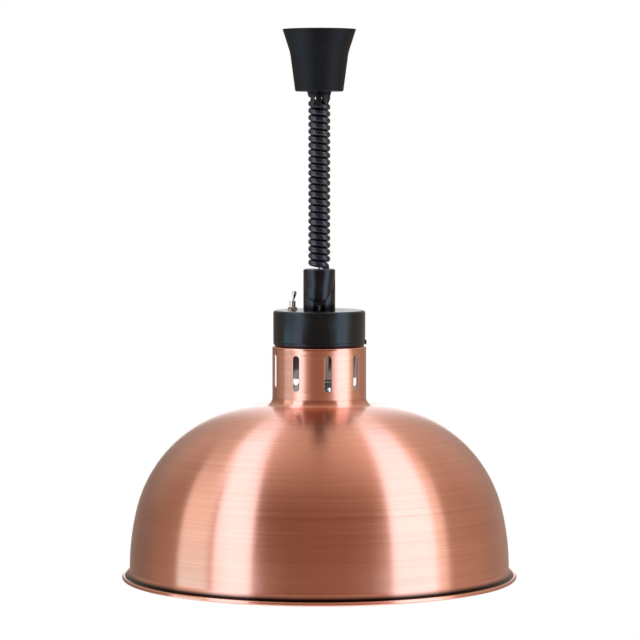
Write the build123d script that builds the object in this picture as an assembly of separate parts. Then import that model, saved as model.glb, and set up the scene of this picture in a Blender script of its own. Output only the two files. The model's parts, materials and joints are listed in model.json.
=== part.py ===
from build123d import *
from math import acos, asin, atan2, cos, degrees, pi, radians, sin, sqrt, tan
import os

# A pull-down heat lamp that hangs from a ceiling. Millimetres, +Z up. The origin is on the
# ceiling plane, on the line of the suspension cord, and -Y is the front.

# ---- canopy cup, a moulded cup against the ceiling
CUP_TOP_R = 35.6
CUP_WAIST_R = 28.3
CUP_WAIST_Z = -22.5
CUP_FOOT_R = 23.3
CUP_HEIGHT = 60.0
CUP_WALL = 2.0
CUP_WAIST_ROUND = 40.0
CUP_FOOT_ROUND = 1.6

# ---- ceiling bracket
BRACKET_LENGTH = 59.6
BRACKET_WIDTH = 20.0
BRACKET_T = 2.0
BRACKET_HOLE_SPACING = 44.0
BRACKET_HOLE_R = 2.6
BRACKET_TAB_W = 10.0
BRACKET_TAB_DROP = 7.2
TAB_T = 1.5
GRUB_R = 1.5
GRUB_Z = -6.2
SUPPLY_HOLE_R = 4.0
SUPPLY_HOLE_X = 8.5

# ---- spring reel
CORD_R = 0.8
DRUM_R = 8.1
DRUM_WALL = 1.5
DRUM_FLANGE_R = 13.4
DRUM_W = 14.2
DRUM_FLANGE_T = 1.0
CORD_TO_DRUM = 0.3
REEL_Z = -26.0
FRAME_T = 1.2
FRAME_ARM_W = 16.0
REEL_SIDE_GAP = 0.5
AXLE_R = 2.0
AXLE_HEAD_R = 3.2
AXLE_HEAD_T = 0.8
RUNNING_GAP = 0.05
SPRING_T = 0.3
SPRING_PITCH = 0.8
SPRING_W = 8.5
RIVET_R = 1.5
RIVET_HEAD_R = 2.6
RIVET_HEAD_T = 0.9
RIVET_SPACING = 9.0
WINDING_TURNS_PER_SIDE = 3

# ---- terminal block in the cup
BLOCK_SIZE = (8.0, 18.0, 12.0)
BLOCK_X = 19.0
BLOCK_WAYS = 3
BLOCK_WAY_R = 1.4

# ---- flex and its outlet
FLEX_R = 3.2
FLEX_BESIDE_FERRULE = 0.9
FERRULE_R = 2.4
FERRULE_L = 5.3
FLEX_OFFSET = FERRULE_R + FLEX_BESIDE_FERRULE + FLEX_R
FLEX_HOLE_GAP = 0.05
CORD_HOLE_GAP = 0.3
COIL_R = 10.7
COIL_BORE_R = COIL_R - 2 * FLEX_R
OUTLET_H = 5.5
OUTLET_WALL = 0.7
OUTLET_FLARE = 1.5
OUTLET_NECK_IN = 0.2
OUTLET_FLANGE_OUT = 2.6
OUTLET_FLANGE_T = 2.0
OUTLET_FIT = 0.1
OUTLET_FOOT_R = FLEX_OFFSET + FLEX_R + OUTLET_WALL
OUTLET_NECK_R = OUTLET_FOOT_R - OUTLET_NECK_IN
OUTLET_TOP_R = OUTLET_FOOT_R + OUTLET_FLARE
OUTLET_FLANGE_R = OUTLET_FOOT_R + OUTLET_FLANGE_OUT
COIL_TOP_Z = -CUP_HEIGHT - OUTLET_H
FINGER_GAP = 0.3
FINGER_T = 1.1
FINGER_L = 9.0
FINGER_ROOT = 1.0
FINGER_BITE = 2.0
FINGERS = ((-34.0, 24.0), (-3.0, 26.0))
TONGUE_FROM_TO = (13.0, 62.0)
TONGUE_L = 7.5
TONGUE_TIP_HALF_W = 1.2
FINGER_IN_R = COIL_R + FINGER_GAP
FINGER_OUT_R = FINGER_IN_R + FINGER_T
FINGER_TIP_Z = COIL_TOP_Z - FINGER_L
TONGUE_TIP_Z = COIL_TOP_Z - TONGUE_L

# ---- grip sleeve on the lamp head
SLEEVE_TOP_Z = -231.7
SLEEVE_H = 40.1
SLEEVE_WALL = 3.5
SLEEVE_CHAMFER = 1.2
SPLIT_MID_DROP = 9.3
SPLIT_SLOPE = 1.484
SPLIT_TURN = -6.0
SPLIT_GAP = 0.3
ARCH_W = 11.0
ARCH_H = 5.2
CORE_GAP = 0.3
CORE_H = 31.3
CORE_WALL = 1.6
CORE_LID = 6.0
FLEX_SIDE_GAP = 0.4
CORE_R = FLEX_OFFSET + FLEX_R + FLEX_SIDE_GAP + CORE_WALL
SLEEVE_R = CORE_R + CORE_GAP + SLEEVE_WALL

# ---- nipple and its nuts
NIPPLE_BORE_R = FLEX_R + 1.2
NIPPLE_WALL = 2.1
NIPPLE_R = NIPPLE_BORE_R + NIPPLE_WALL
NIPPLE_IN_CORE = 6.0
NIPPLE_TAIL = 6.0
NUT_RIM = 3.3
NUT_ACROSS_CORNERS_R = NIPPLE_R + NUT_RIM
NUT_T = 3.0

# ---- cap
CAP_R = 44.75
CAP_H = 34.8
CAP_WALL = 2.0
CAP_TOP_ROUND = 2.8
CAP_BEVEL_IN = 1.6
CAP_BEVEL_UP = 2.4
CAP_GROOVE = 0.4
CAP_GROOVE_UP = 4.2
LOCK_SCREW_R = 1.5
LOCK_SCREW_UP = 3.7
LOCK_HEAD_R = 2.4
LOCK_HEAD_T = 1.2
LOCK_SCREW_L = 6.5

# ---- bridge strap inside the cap
BRIDGE_W = 20.0
BRIDGE_T = 1.5
BRIDGE_SIDE_GAP = 2.0
BRIDGE_FOOT_L = 13.0
BRIDGE_SCREW_IN = 8.55
BRIDGE_SCREW_R = 2.0
BRIDGE_HEAD_R = 3.8
BRIDGE_HEAD_T = 2.4
BRIDGE_NUT_R = 4.0
BRIDGE_NUT_T = 2.6
SCREW_GAP = 0.05
BRIDGE_FAR_X = CAP_R - CAP_WALL - BRIDGE_SIDE_GAP
BRIDGE_SCREW_X = BRIDGE_FAR_X - BRIDGE_SCREW_IN

# ---- shade, spun from sheet
SHADE_T = 1.0
NECK_PAST_CAP = 0.95
NECK_R = CAP_R + NECK_PAST_CAP
NECK_TOP_ROUND = 1.9
NECK_FLANGE_HOLE_GAP = 0.8
NECK_FILLET = 8.0
DOME_R = 131.9
DOME_CENTRE_R = 49.8
DOME_TOP_BELOW_CEILING = 364.4
SHOULDER_R = 242.4
SHOULDER_ANGLE = 13.5
LIP_ROUND = 1.6
LIP_OUT = 5.6
LIP_DOWN = 7.4
BEAD_R = 1.9
SLOT_COUNT = 9
SLOT_W = 6.9
SLOT_H = 34.4
SLOT_BELOW_NECK_TOP = 7.2
SLOT_TURN = 10.5

# ---- holder cup, a bright steel cup that clamps the shade's flange
HOLDER_CUP_SIDE_GAP = 6.7
HOLDER_CUP_T = 1.2
HOLDER_DISC_GAP = 1.0
HOLDER_CUP_R = NECK_R - SHADE_T - HOLDER_CUP_SIDE_GAP
HOLDER_CUP_DISC_R = NECK_R - SHADE_T - HOLDER_DISC_GAP
HOLDER_CUP_H = 29.0

# ---- ceramic lampholder
HOLDER_R = 21.0
HOLDER_HOLE_GAP = 0.3
HOLDER_FLANGE_R = 27.2
NECK_FLANGE_HOLE_R = HOLDER_FLANGE_R + NECK_FLANGE_HOLE_GAP
HOLDER_FLANGE_T = 4.8
HOLDER_TOP_UP = 12.6
HOLDER_BELOW = 30.4
HOLDER_BORE_FLOOR = 1.6
HOLDER_SCREW_AT = 24.2
HOLDER_SCREW_R = 1.5
HOLDER_SCREW_HEAD_R = 2.7
HOLDER_SCREW_HEAD_T = 1.8
BULB_BASE_R = 13.1
BULB_IN_SHELL_GAP = 0.6
SHELL_T = 0.5
SHELL_GAP = 0.1
HOLDER_BORE_R = BULB_BASE_R + BULB_IN_SHELL_GAP + SHELL_T + SHELL_GAP
SHELL_L = 24.0
TERMINAL_SIZE = (7.0, 6.0, 4.0)
TERMINAL_AT = (10.0, -8.0)

# ---- toggle switch
SWITCH_X = -26.0
SWITCH_Y = 5.0
SWITCH_BODY = (13.2, 7.9, 11.5)
BUSH_R = 3.0
BUSH_BORE_R = 1.9
BUSH_ABOVE_CAP = 8.9
SWITCH_NUT_R = BUSH_R + 1.6
SWITCH_NUT_T = 2.2
SWITCH_WASHER_R = BUSH_R + 2.0
SWITCH_WASHER_T = 0.5
TAG_SIZE = (0.8, 2.2, 4.0)
TAG_SPACING = 9.4
LEVER_PIVOT_DROP = 3.4
LEVER_ABOVE_BUSH = 10.0
LEVER_ROOT_R = 0.95
LEVER_TIP_R = 2.2
LEVER_BALL_R = 1.8
LEVER_TILT = 9.0
LEAD_R = 0.9
LEAD_GAP = 0.15
LEAD_DROP = 3.6

# ---- infrared reflector bulb with a 27 mm Edison screw
BULB_R = 62.5
BULB_L = 176.0
BULB_BASE_L = 22.0
BULB_THREAD_DEPTH = 0.5
BULB_THREAD_PITCH = 3.63
BULB_THREADS = 5
BULB_CONTACT_R = 4.4
BULB_CONTACT_T = 1.5
BULB_INSULATOR_H = 3.0
BULB_CONTACT_GAP = 0.3
BULB_NECK_R = 19.5
BULB_STEP_SLOPE = 1.52
BULB_NECK_END = 45.0
BULB_GLASS_T = 1.2
BULB_FLARE_R = 30.0
BULB_FLARE_ANGLE = 42.0
BULB_BULGE_R = 45.0
BULB_EDGE_R = 14.0
BULB_FACE_R = 110.0
STEM_R = 3.2
STEM_END = 52.0
FILAMENT_RING_R = 15.0
FILAMENT_R = 1.3
SUPPORT_R = 0.5
FILAMENT_BELOW_TIP = 76.0
FILAMENT_OPENING = 60.0
CONTACT_T = 0.8
CONTACT_R = 6.0

# ---- levels that follow from the sizes above
CUP_FLOOR_Z = -CUP_HEIGHT + CUP_WALL
CAP_TOP_Z = SLEEVE_TOP_Z - SLEEVE_H
CAP_IN_TOP_Z = CAP_TOP_Z - CAP_WALL
NECK_TOP_Z = CAP_TOP_Z - CAP_H
DISC_TOP_Z = NECK_TOP_Z - SHADE_T
DISC_LOW_Z = DISC_TOP_Z - HOLDER_CUP_T
BRIDGE_LOW_Z = CAP_IN_TOP_Z - BRIDGE_T
NIPPLE_TOP_Z = SLEEVE_TOP_Z - CORE_H + NIPPLE_IN_CORE
NIPPLE_LOW_Z = BRIDGE_LOW_Z - NUT_T - NIPPLE_TAIL
HOLDER_TOP_Z = DISC_TOP_Z + HOLDER_TOP_UP
HOLDER_LOW_Z = DISC_TOP_Z - HOLDER_BELOW
BORE_TOP_Z = DISC_TOP_Z - HOLDER_BORE_FLOOR
BULB_TIP_Z = BORE_TOP_Z - CONTACT_T - BULB_CONTACT_GAP
REEL_X = -(DRUM_R + CORD_R + CORD_TO_DRUM)


def at(shape, x=0.0, y=0.0, z=0.0):
    """The shape moved by x, y, z."""
    return Pos(x, y, z) * shape


def rod(radius, z_low, z_high, x=0.0, y=0.0):
    """An upright cylinder between two levels."""
    solid = Cylinder(radius, z_high - z_low, align=(Align.CENTER, Align.CENTER, Align.MIN))
    return at(solid, x, y, z_low)


def cross_rod(radius, y_low, y_high, x, z):
    """A cylinder along Y."""
    return at(Rot(90, 0, 0) * Cylinder(radius, y_high - y_low), x, (y_low + y_high) / 2, z)


def side_rod(radius, x_low, x_high, y, z):
    """A cylinder along X."""
    return at(Rot(0, 90, 0) * Cylinder(radius, x_high - x_low), (x_low + x_high) / 2, y, z)


def block(x_low, x_high, y_low, y_high, z_low, z_high):
    """A box between two corners."""
    solid = Box(x_high - x_low, y_high - y_low, z_high - z_low)
    return at(solid, (x_low + x_high) / 2, (y_low + y_high) / 2, (z_low + z_high) / 2)


def hex_prism(corner_r, z_low, z_high, x=0.0, y=0.0, turn=30.0):
    """An upright hexagonal prism; turn=30 puts a corner at the front."""
    face = Rot(0, 0, turn) * RegularPolygon(corner_r, 6)
    return at(extrude(face, z_high - z_low), x, y, z_low)


def spun(*edges):
    """The solid that a closed outline in (radius, height) sweeps round the Z axis."""
    return revolve(Plane.XZ * make_face([e.edge() for e in edges]), Axis.Z)


def spun_polygon(*points):
    """The solid that a straight-sided outline in (radius, height) sweeps round the Z axis."""
    return revolve(Plane.XZ * make_face(Polyline(*points, close=True)), Axis.Z)


def arc(centre, radius, start, end):
    """An arc in the (radius, height) plane from the angle start to the angle end, in degrees."""
    return CenterArc(centre, radius, start, end - start)


def round_lead(points, radius, share=0.45):
    """A round lead along straight runs joined by tangent arcs as large as the runs allow."""
    corners = [Vector(*p) for p in points]
    runs = [b - a for a, b in zip(corners, corners[1:])]
    radii = []
    for before, after in zip(runs, runs[1:]):
        turn = radians(before.get_angle(after))
        radii.append(share * min(before.length, after.length) / tan(turn / 2))
    path = FilletPolyline(*corners, radius=radii)
    section = Plane(origin=path @ 0, z_dir=path % 0) * Circle(radius)
    print("lead bend radii", [round(r, 1) for r in radii], "length", round(path.length, 1))
    return sweep(section, path=path)


def cup_radius(z):
    """The canopy cup's outer radius at a level, before its waist is rounded."""
    if z > CUP_WAIST_Z:
        share = z / CUP_WAIST_Z
        return CUP_TOP_R + (CUP_WAIST_R - CUP_TOP_R) * share
    share = (z - CUP_WAIST_Z) / (-CUP_HEIGHT - CUP_WAIST_Z)
    return CUP_WAIST_R + (CUP_FOOT_R - CUP_WAIST_R) * share


# ---------------------------------------------------------------- ceiling body

def canopy_cup():
    """A cup with a flared mouth against the ceiling and a hole in its floor for the outlet."""

    def profile(inset, foot_z, foot_round):
        points = (
            (0, 0),
            (CUP_TOP_R - inset, 0),
            (CUP_WAIST_R - inset, CUP_WAIST_Z),
            (cup_radius(foot_z) - inset, foot_z),
            (0, foot_z),
        )
        face = make_face(Polyline(*points, close=True))
        waist = face.vertices().sort_by_distance((*points[2], 0))[0]
        face = fillet(waist, CUP_WAIST_ROUND)
        foot = face.vertices().sort_by_distance((*points[3], 0))[0]
        return fillet(foot, foot_round)

    outer = revolve(Plane.XZ * profile(0, -CUP_HEIGHT, CUP_FOOT_ROUND), Axis.Z)
    inner = revolve(Plane.XZ * profile(CUP_WALL, CUP_FLOOR_Z, CUP_FOOT_ROUND / 2), Axis.Z)
    cup = outer - inner - rod(OUTLET_NECK_R + OUTLET_FIT, -CUP_HEIGHT - 1, CUP_FLOOR_Z + 1)
    reach = cup_radius(GRUB_Z) + 2
    return cup - side_rod(GRUB_R + SCREW_GAP, -reach, reach, 0, GRUB_Z)


def ceiling_bracket():
    """A plate with two ceiling-screw holes, a supply hole and a down-turned tab at each end."""
    half = BRACKET_LENGTH / 2
    plate = block(-half, half, -BRACKET_WIDTH / 2, BRACKET_WIDTH / 2, -BRACKET_T, 0)
    tab_low = -BRACKET_T - BRACKET_TAB_DROP
    for side in (-1, 1):
        near, far = sorted((side * (half - TAB_T), side * half))
        plate += block(near, far, -BRACKET_TAB_W / 2, BRACKET_TAB_W / 2, tab_low, -BRACKET_T)
        plate -= rod(BRACKET_HOLE_R, -BRACKET_T - 1, 1, side * BRACKET_HOLE_SPACING / 2)
    plate -= side_rod(GRUB_R + SCREW_GAP / 2, -half - 1, half + 1, 0, GRUB_Z)
    plate -= rod(SUPPLY_HOLE_R, -BRACKET_T - 1, 1, SUPPLY_HOLE_X)
    for x in rivet_places():
        plate -= rod(RIVET_R + SCREW_GAP / 2, -BRACKET_T - 1, 1, x)
    return plate


def rivet_places():
    """The two rivets that hold the reel frame under the bracket."""
    return (REEL_X - RIVET_SPACING / 2, REEL_X + RIVET_SPACING / 2)


def canopy_screws():
    """Two socket grub screws, flush with the cup, that grip the bracket's tabs."""
    screws = []
    outer = cup_radius(GRUB_Z) - 0.3
    inner = BRACKET_LENGTH / 2 - TAB_T - 0.6
    for side in (-1, 1):
        near, far = sorted((side * inner, side * outer))
        screw = side_rod(GRUB_R, near, far, 0, GRUB_Z)
        socket = extrude(Plane.YZ * RegularPolygon(0.8, 6), 1.6)
        if side < 0:
            socket = Rot(0, 0, 180) * socket
        screws.append(screw - at(socket, side * (outer - 1.5), 0, GRUB_Z))
    return Compound(children=screws)


def reel_frame():
    """A U-shaped strap under the bracket whose two arms carry the reel's axle."""
    half_w = DRUM_W / 2 + REEL_SIDE_GAP
    top_z = -BRACKET_T
    low, high = REEL_X - FRAME_ARM_W / 2, REEL_X + FRAME_ARM_W / 2
    frame = block(low, high, -half_w - FRAME_T, half_w + FRAME_T, top_z - FRAME_T, top_z)
    for y in (-half_w - FRAME_T, half_w):
        frame += block(low, high, y, y + FRAME_T, REEL_Z, top_z)
        frame += cross_rod(FRAME_ARM_W / 2, y, y + FRAME_T, REEL_X, REEL_Z)
    frame -= cross_rod(AXLE_R + SCREW_GAP / 2, -half_w - 3, half_w + 3, REEL_X, REEL_Z)
    for x in rivet_places():
        frame -= rod(RIVET_R + SCREW_GAP / 2, top_z - FRAME_T - 1, top_z + 1, x)
    return frame


def frame_rivets():
    """Flush at the ceiling, with a round head under the reel frame."""
    under = -BRACKET_T - FRAME_T
    rivets = []
    for x in rivet_places():
        head = rod(RIVET_HEAD_R, under - RIVET_HEAD_T, under, x)
        head = fillet(head.edges().group_by(Axis.Z)[0], RIVET_HEAD_T * 0.7)
        rivets.append(head + rod(RIVET_R, under, 0, x))
    return Compound(children=rivets)


def reel_axle():
    """A fixed pin through both arms, with a head at each end."""
    reach = DRUM_W / 2 + REEL_SIDE_GAP + FRAME_T
    axle = cross_rod(AXLE_R, -reach, reach, REEL_X, REEL_Z)
    axle += cross_rod(AXLE_HEAD_R, reach, reach + AXLE_HEAD_T, REEL_X, REEL_Z)
    return axle + cross_rod(AXLE_HEAD_R, -reach - AXLE_HEAD_T, -reach, REEL_X, REEL_Z)


def balance_spring():
    """A flat spiral round the axle, made of half turns whose radius grows by half a pitch."""
    room = DRUM_R - DRUM_WALL - AXLE_R - SPRING_T - 2 * CORD_TO_DRUM
    step = SPRING_PITCH / 2
    half_turns = int(room / step)

    def spiral(start_r):
        arcs = []
        for k in range(half_turns):
            centre = (0, 0) if k % 2 == 0 else (step, 0)
            arcs.append(CenterArc(centre, start_r + k * step, 180 * (k % 2), 180))
        return arcs

    inside = spiral(AXLE_R)
    outside = spiral(AXLE_R + SPRING_T)
    ends = [Line(inside[0] @ 0, outside[0] @ 0), Line(inside[-1] @ 1, outside[-1] @ 1)]
    face = make_face([e.edge() for e in inside + outside + ends])
    ribbon = extrude(Plane.XZ * face, SPRING_W)
    return at(ribbon, REEL_X, spring_front_y() + SPRING_W, REEL_Z)


def spring_front_y():
    """The spring lies against the open side of the drum."""
    return -DRUM_W / 2 + DRUM_FLANGE_T


def terminal_block():
    """A moulded block with three through ways for wires and a screw well under each."""
    sx, sy, sz = BLOCK_SIZE
    top = -BRACKET_T
    body = block(BLOCK_X - sx / 2, BLOCK_X + sx / 2, -sy / 2, sy / 2, top - sz, top)
    pitch = sy / BLOCK_WAYS
    for k in range(BLOCK_WAYS):
        y = (k - (BLOCK_WAYS - 1) / 2) * pitch
        body -= side_rod(BLOCK_WAY_R, BLOCK_X - sx, BLOCK_X + sx, y, top - sz * 0.3)
    return body


def supply_lead():
    """The flex from the outlet up to the terminal block, inside the cup."""
    block_low = -BRACKET_T - BLOCK_SIZE[2]
    points = (
        (FLEX_OFFSET, 0, COIL_TOP_Z),
        (FLEX_OFFSET, 0, -46),
        (BLOCK_X, 0, -29),
        (BLOCK_X, 0, block_low),
    )
    return round_lead(points, FLEX_R)


def ring_sector(inner_r, outer_r, z_low, z_high, middle, width):
    """A sector of an upright ring; middle and width in degrees, counted from the front to +X."""
    sector = rod(outer_r, z_low, z_high) - rod(inner_r, z_low - 1, z_high + 1)
    reach = outer_r * 3
    start, end = middle - width / 2, middle + width / 2
    corners = [(0, 0)]
    for angle in (start, end):
        corners.append((reach * sin(radians(angle)), -reach * cos(radians(angle))))
    wedge = extrude(make_face(Polyline(*corners, close=True)), z_high - z_low + 2)
    return sector & at(wedge, 0, 0, z_low - 1)


def cord_outlet():
    """A rubber outlet snapped into the cup's floor, with two fingers and a pointed tongue."""
    top = CUP_FLOOR_Z + OUTLET_FLANGE_T
    outlet = spun_polygon(
        (0, top),
        (OUTLET_FLANGE_R, top),
        (OUTLET_FLANGE_R, CUP_FLOOR_Z),
        (OUTLET_NECK_R, CUP_FLOOR_Z),
        (OUTLET_NECK_R, -CUP_HEIGHT),
        (OUTLET_TOP_R, -CUP_HEIGHT),
        (OUTLET_FOOT_R, COIL_TOP_Z),
        (0, COIL_TOP_Z),
    )
    root_z = -CUP_HEIGHT - FINGER_ROOT
    for middle, width in FINGERS:
        outlet += ring_sector(FINGER_IN_R, FINGER_OUT_R, FINGER_TIP_Z, root_z, middle, width)
        outlet += ring_sector(OUTLET_FOOT_R - FINGER_BITE, FINGER_OUT_R, COIL_TOP_Z, root_z, middle, width)
    start, end = TONGUE_FROM_TO
    middle, width = (start + end) / 2, end - start
    outlet += ring_sector(OUTLET_FOOT_R - FINGER_BITE, FINGER_OUT_R, COIL_TOP_Z, root_z, middle, width)
    tongue = ring_sector(FINGER_IN_R, FINGER_OUT_R, TONGUE_TIP_Z, root_z, middle, width)
    half_w = FINGER_OUT_R * sin(radians(width / 2)) + 1
    taper = ((-half_w, root_z), (half_w, root_z), (half_w, COIL_TOP_Z))
    taper += ((TONGUE_TIP_HALF_W, TONGUE_TIP_Z), (-TONGUE_TIP_HALF_W, TONGUE_TIP_Z))
    taper += ((-half_w, COIL_TOP_Z),)
    keep = extrude(Plane.XZ * make_face(Polyline(*taper, close=True)), FINGER_OUT_R * 2)
    outlet += tongue & (Rot(0, 0, middle) * keep)
    outlet -= rod(CORD_R + CORD_HOLE_GAP, COIL_TOP_Z - 1, top + 1)
    return outlet - rod(FLEX_R + FLEX_HOLE_GAP, COIL_TOP_Z - 1, top + 1, FLEX_OFFSET)


def suspension_cord():
    """The cord that carries the lamp, from the drum's side to the ferrule, on the Z axis."""
    return rod(CORD_R, SLEEVE_TOP_Z - CORE_LID, REEL_Z)


def curly_cord():
    """The coiled flex as one tube of its outer diameter round the suspension cord."""
    return rod(COIL_R, SLEEVE_TOP_Z, COIL_TOP_Z) - rod(COIL_BORE_R, SLEEVE_TOP_Z - 1, COIL_TOP_Z + 1)


# ---------------------------------------------------------------- reel body

def reel_drum():
    """A flanged drum: a bush on the axle at one end, open to the spring at the other."""
    half = DRUM_W / 2
    bush_t = 2.0
    drum = cross_rod(DRUM_R, -half, half, REEL_X, REEL_Z)
    for y in (-half, half - DRUM_FLANGE_T):
        drum += cross_rod(DRUM_FLANGE_R, y, y + DRUM_FLANGE_T, REEL_X, REEL_Z)
    drum -= cross_rod(DRUM_R - DRUM_WALL, -half - 1, half - bush_t, REEL_X, REEL_Z)
    return drum - cross_rod(AXLE_R + RUNNING_GAP, -half - 1, half + 1, REEL_X, REEL_Z)


def cord_winding():
    """The turns of cord on the drum, on each side of the turn that hangs down."""
    turns = []
    major = DRUM_R + CORD_R + 0.02
    pitch = 2 * CORD_R + 0.05
    for side in (-1, 1):
        for k in range(WINDING_TURNS_PER_SIDE):
            y = side * (pitch * (k + 1) + 0.1)
            turns.append(at(Rot(90, 0, 0) * Torus(major, CORD_R), REEL_X, y, REEL_Z))
    return Compound(children=turns)


# ---------------------------------------------------------------- lamp head body

def sleeve_shell():
    """The grip sleeve before it is split: a chamfered tube with an arch at its foot."""
    inner_r = SLEEVE_R - SLEEVE_WALL
    shell = spun_polygon(
        (inner_r, SLEEVE_TOP_Z),
        (SLEEVE_R - SLEEVE_CHAMFER, SLEEVE_TOP_Z),
        (SLEEVE_R, SLEEVE_TOP_Z - SLEEVE_CHAMFER),
        (SLEEVE_R, CAP_TOP_Z),
        (inner_r, CAP_TOP_Z),
    )
    spring_z = CAP_TOP_Z + ARCH_H - ARCH_W / 2 * 0.6
    arch = block(-ARCH_W / 2, ARCH_W / 2, -SLEEVE_R - 2, -2, CAP_TOP_Z - 1, spring_z)
    dome = extrude(Plane.XZ * Ellipse(ARCH_W / 2, ARCH_W / 2 * 0.6), SLEEVE_R)
    return shell - arch - at(dome, 0, -2, spring_z)


def above_split(raise_by):
    """All the space above the slanting plane that splits the grip sleeve."""
    tilt = degrees(atan2(SPLIT_SLOPE, 1))
    big = SLEEVE_H * 4
    half_space = Box(big, big, big, align=(Align.CENTER, Align.CENTER, Align.MIN))
    place = Pos(0, 0, SLEEVE_TOP_Z - SPLIT_MID_DROP + raise_by) * Rot(0, 0, SPLIT_TURN)
    return place * Rot(tilt, 0, 0) * half_space


def grip_sleeve():
    """The lower and rear shell of the grip sleeve."""
    return sleeve_shell() - above_split(0)


def grip_cover():
    """The upper front shell of the grip sleeve."""
    return sleeve_shell() & above_split(SPLIT_GAP * sqrt(1 + SPLIT_SLOPE**2))


def grip_core():
    """The tube inside the sleeve that hangs on the cord's ferrule and carries the nipple."""
    low = SLEEVE_TOP_Z - CORE_H
    core = rod(CORE_R, low, SLEEVE_TOP_Z)
    core -= rod(CORE_R - CORE_WALL, low + NIPPLE_IN_CORE, SLEEVE_TOP_Z - CORE_LID)
    core -= rod(CORD_R + CORD_HOLE_GAP, low, SLEEVE_TOP_Z + 1)
    core -= rod(NIPPLE_R + SCREW_GAP / 2, low - 1, low + NIPPLE_IN_CORE + 1)
    lid_low = SLEEVE_TOP_Z - CORE_LID - 1
    return core - rod(FLEX_R + FLEX_HOLE_GAP, lid_low, SLEEVE_TOP_Z + 1, FLEX_OFFSET)


def cord_ferrule():
    """The crimped ferrule under the core's lid."""
    top = SLEEVE_TOP_Z - CORE_LID
    return chamfer(rod(FERRULE_R, top - FERRULE_L, top).edges().group_by(Axis.Z)[0], 0.5)


def grip_flex():
    """The flex from the core's lid to the nipple, inside the sleeve."""
    points = (
        (FLEX_OFFSET, 0, SLEEVE_TOP_Z),
        (FLEX_OFFSET, 0, SLEEVE_TOP_Z - 11.8),
        (0, 0, SLEEVE_TOP_Z - 23.3),
        (0, 0, NIPPLE_LOW_Z - 1.5),
    )
    return round_lead(points, FLEX_R)


def nipple():
    """The hollow threaded tube from the core through the cap and the bridge."""
    tube = rod(NIPPLE_R, NIPPLE_LOW_Z, NIPPLE_TOP_Z)
    return tube - rod(NIPPLE_BORE_R, NIPPLE_LOW_Z - 1, NIPPLE_TOP_Z + 1)


def lock_nut(z_low):
    """A hexagonal nut on the nipple, with its corners turned down."""
    nut = hex_prism(NUT_ACROSS_CORNERS_R, z_low, z_low + NUT_T)
    flat_r = NUT_ACROSS_CORNERS_R * cos(pi / 6)
    crown = spun_polygon(
        (0, z_low),
        (flat_r + 0.3, z_low),
        (NUT_ACROSS_CORNERS_R + 0.1, z_low + 0.7),
        (NUT_ACROSS_CORNERS_R + 0.1, z_low + NUT_T - 0.7),
        (flat_r + 0.3, z_low + NUT_T),
        (0, z_low + NUT_T),
    )
    return (nut & crown) - rod(NIPPLE_R + SCREW_GAP / 2, z_low - 1, z_low + NUT_T + 1)


def head_cap():
    """A cup open below, with a rounded top edge, a groove and a bevelled foot."""
    foot_r = CAP_R - CAP_BEVEL_IN
    bevel_top = NECK_TOP_Z + CAP_BEVEL_UP
    groove_z = NECK_TOP_Z + CAP_GROOVE_UP
    in_r = CAP_R - CAP_WALL
    in_round = CAP_TOP_ROUND - CAP_WALL
    top_c = (CAP_R - CAP_TOP_ROUND, CAP_TOP_Z - CAP_TOP_ROUND)
    cap = spun(
        Line((0, CAP_TOP_Z), (top_c[0], CAP_TOP_Z)),
        arc(top_c, CAP_TOP_ROUND, 90, 0),
        Line((CAP_R, top_c[1]), (CAP_R, groove_z + CAP_GROOVE)),
        Line((CAP_R, groove_z + CAP_GROOVE), (CAP_R - CAP_GROOVE, groove_z)),
        Line((CAP_R - CAP_GROOVE, groove_z), (CAP_R, groove_z - CAP_GROOVE)),
        Line((CAP_R, groove_z - CAP_GROOVE), (CAP_R, bevel_top)),
        Line((CAP_R, bevel_top), (foot_r, NECK_TOP_Z)),
        Line((foot_r, NECK_TOP_Z), (in_r, NECK_TOP_Z)),
        Line((in_r, NECK_TOP_Z), (in_r, top_c[1])),
        arc(top_c, in_round, 0, 90),
        Line((top_c[0], CAP_IN_TOP_Z), (0, CAP_IN_TOP_Z)),
        Line((0, CAP_IN_TOP_Z), (0, CAP_TOP_Z)),
    )
    cap -= rod(NIPPLE_R + SCREW_GAP, CAP_IN_TOP_Z - 1, CAP_TOP_Z + 1)
    cap -= rod(BUSH_R + SCREW_GAP, CAP_IN_TOP_Z - 1, CAP_TOP_Z + 1, SWITCH_X, SWITCH_Y)
    return cap - side_rod(LOCK_SCREW_R + SCREW_GAP, in_r - 2, CAP_R + 1, 0, lock_screw_z())


def lock_screw_z():
    """The level of the cap's side screw."""
    return NECK_TOP_Z + LOCK_SCREW_UP


def cap_lock_screw():
    """The side screw that ties the cap to the bridge's leg."""
    z = lock_screw_z()
    head = side_rod(LOCK_HEAD_R, CAP_R, CAP_R + LOCK_HEAD_T, 0, z)
    head = fillet(head.edges().group_by(Axis.X)[-1], LOCK_HEAD_T * 0.6)
    slot = block(CAP_R + LOCK_HEAD_T * 0.5, CAP_R + LOCK_HEAD_T + 1, -0.4, 0.4, z - 3, z + 3)
    return head + side_rod(LOCK_SCREW_R, CAP_R - LOCK_SCREW_L, CAP_R, 0, z) - slot


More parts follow.
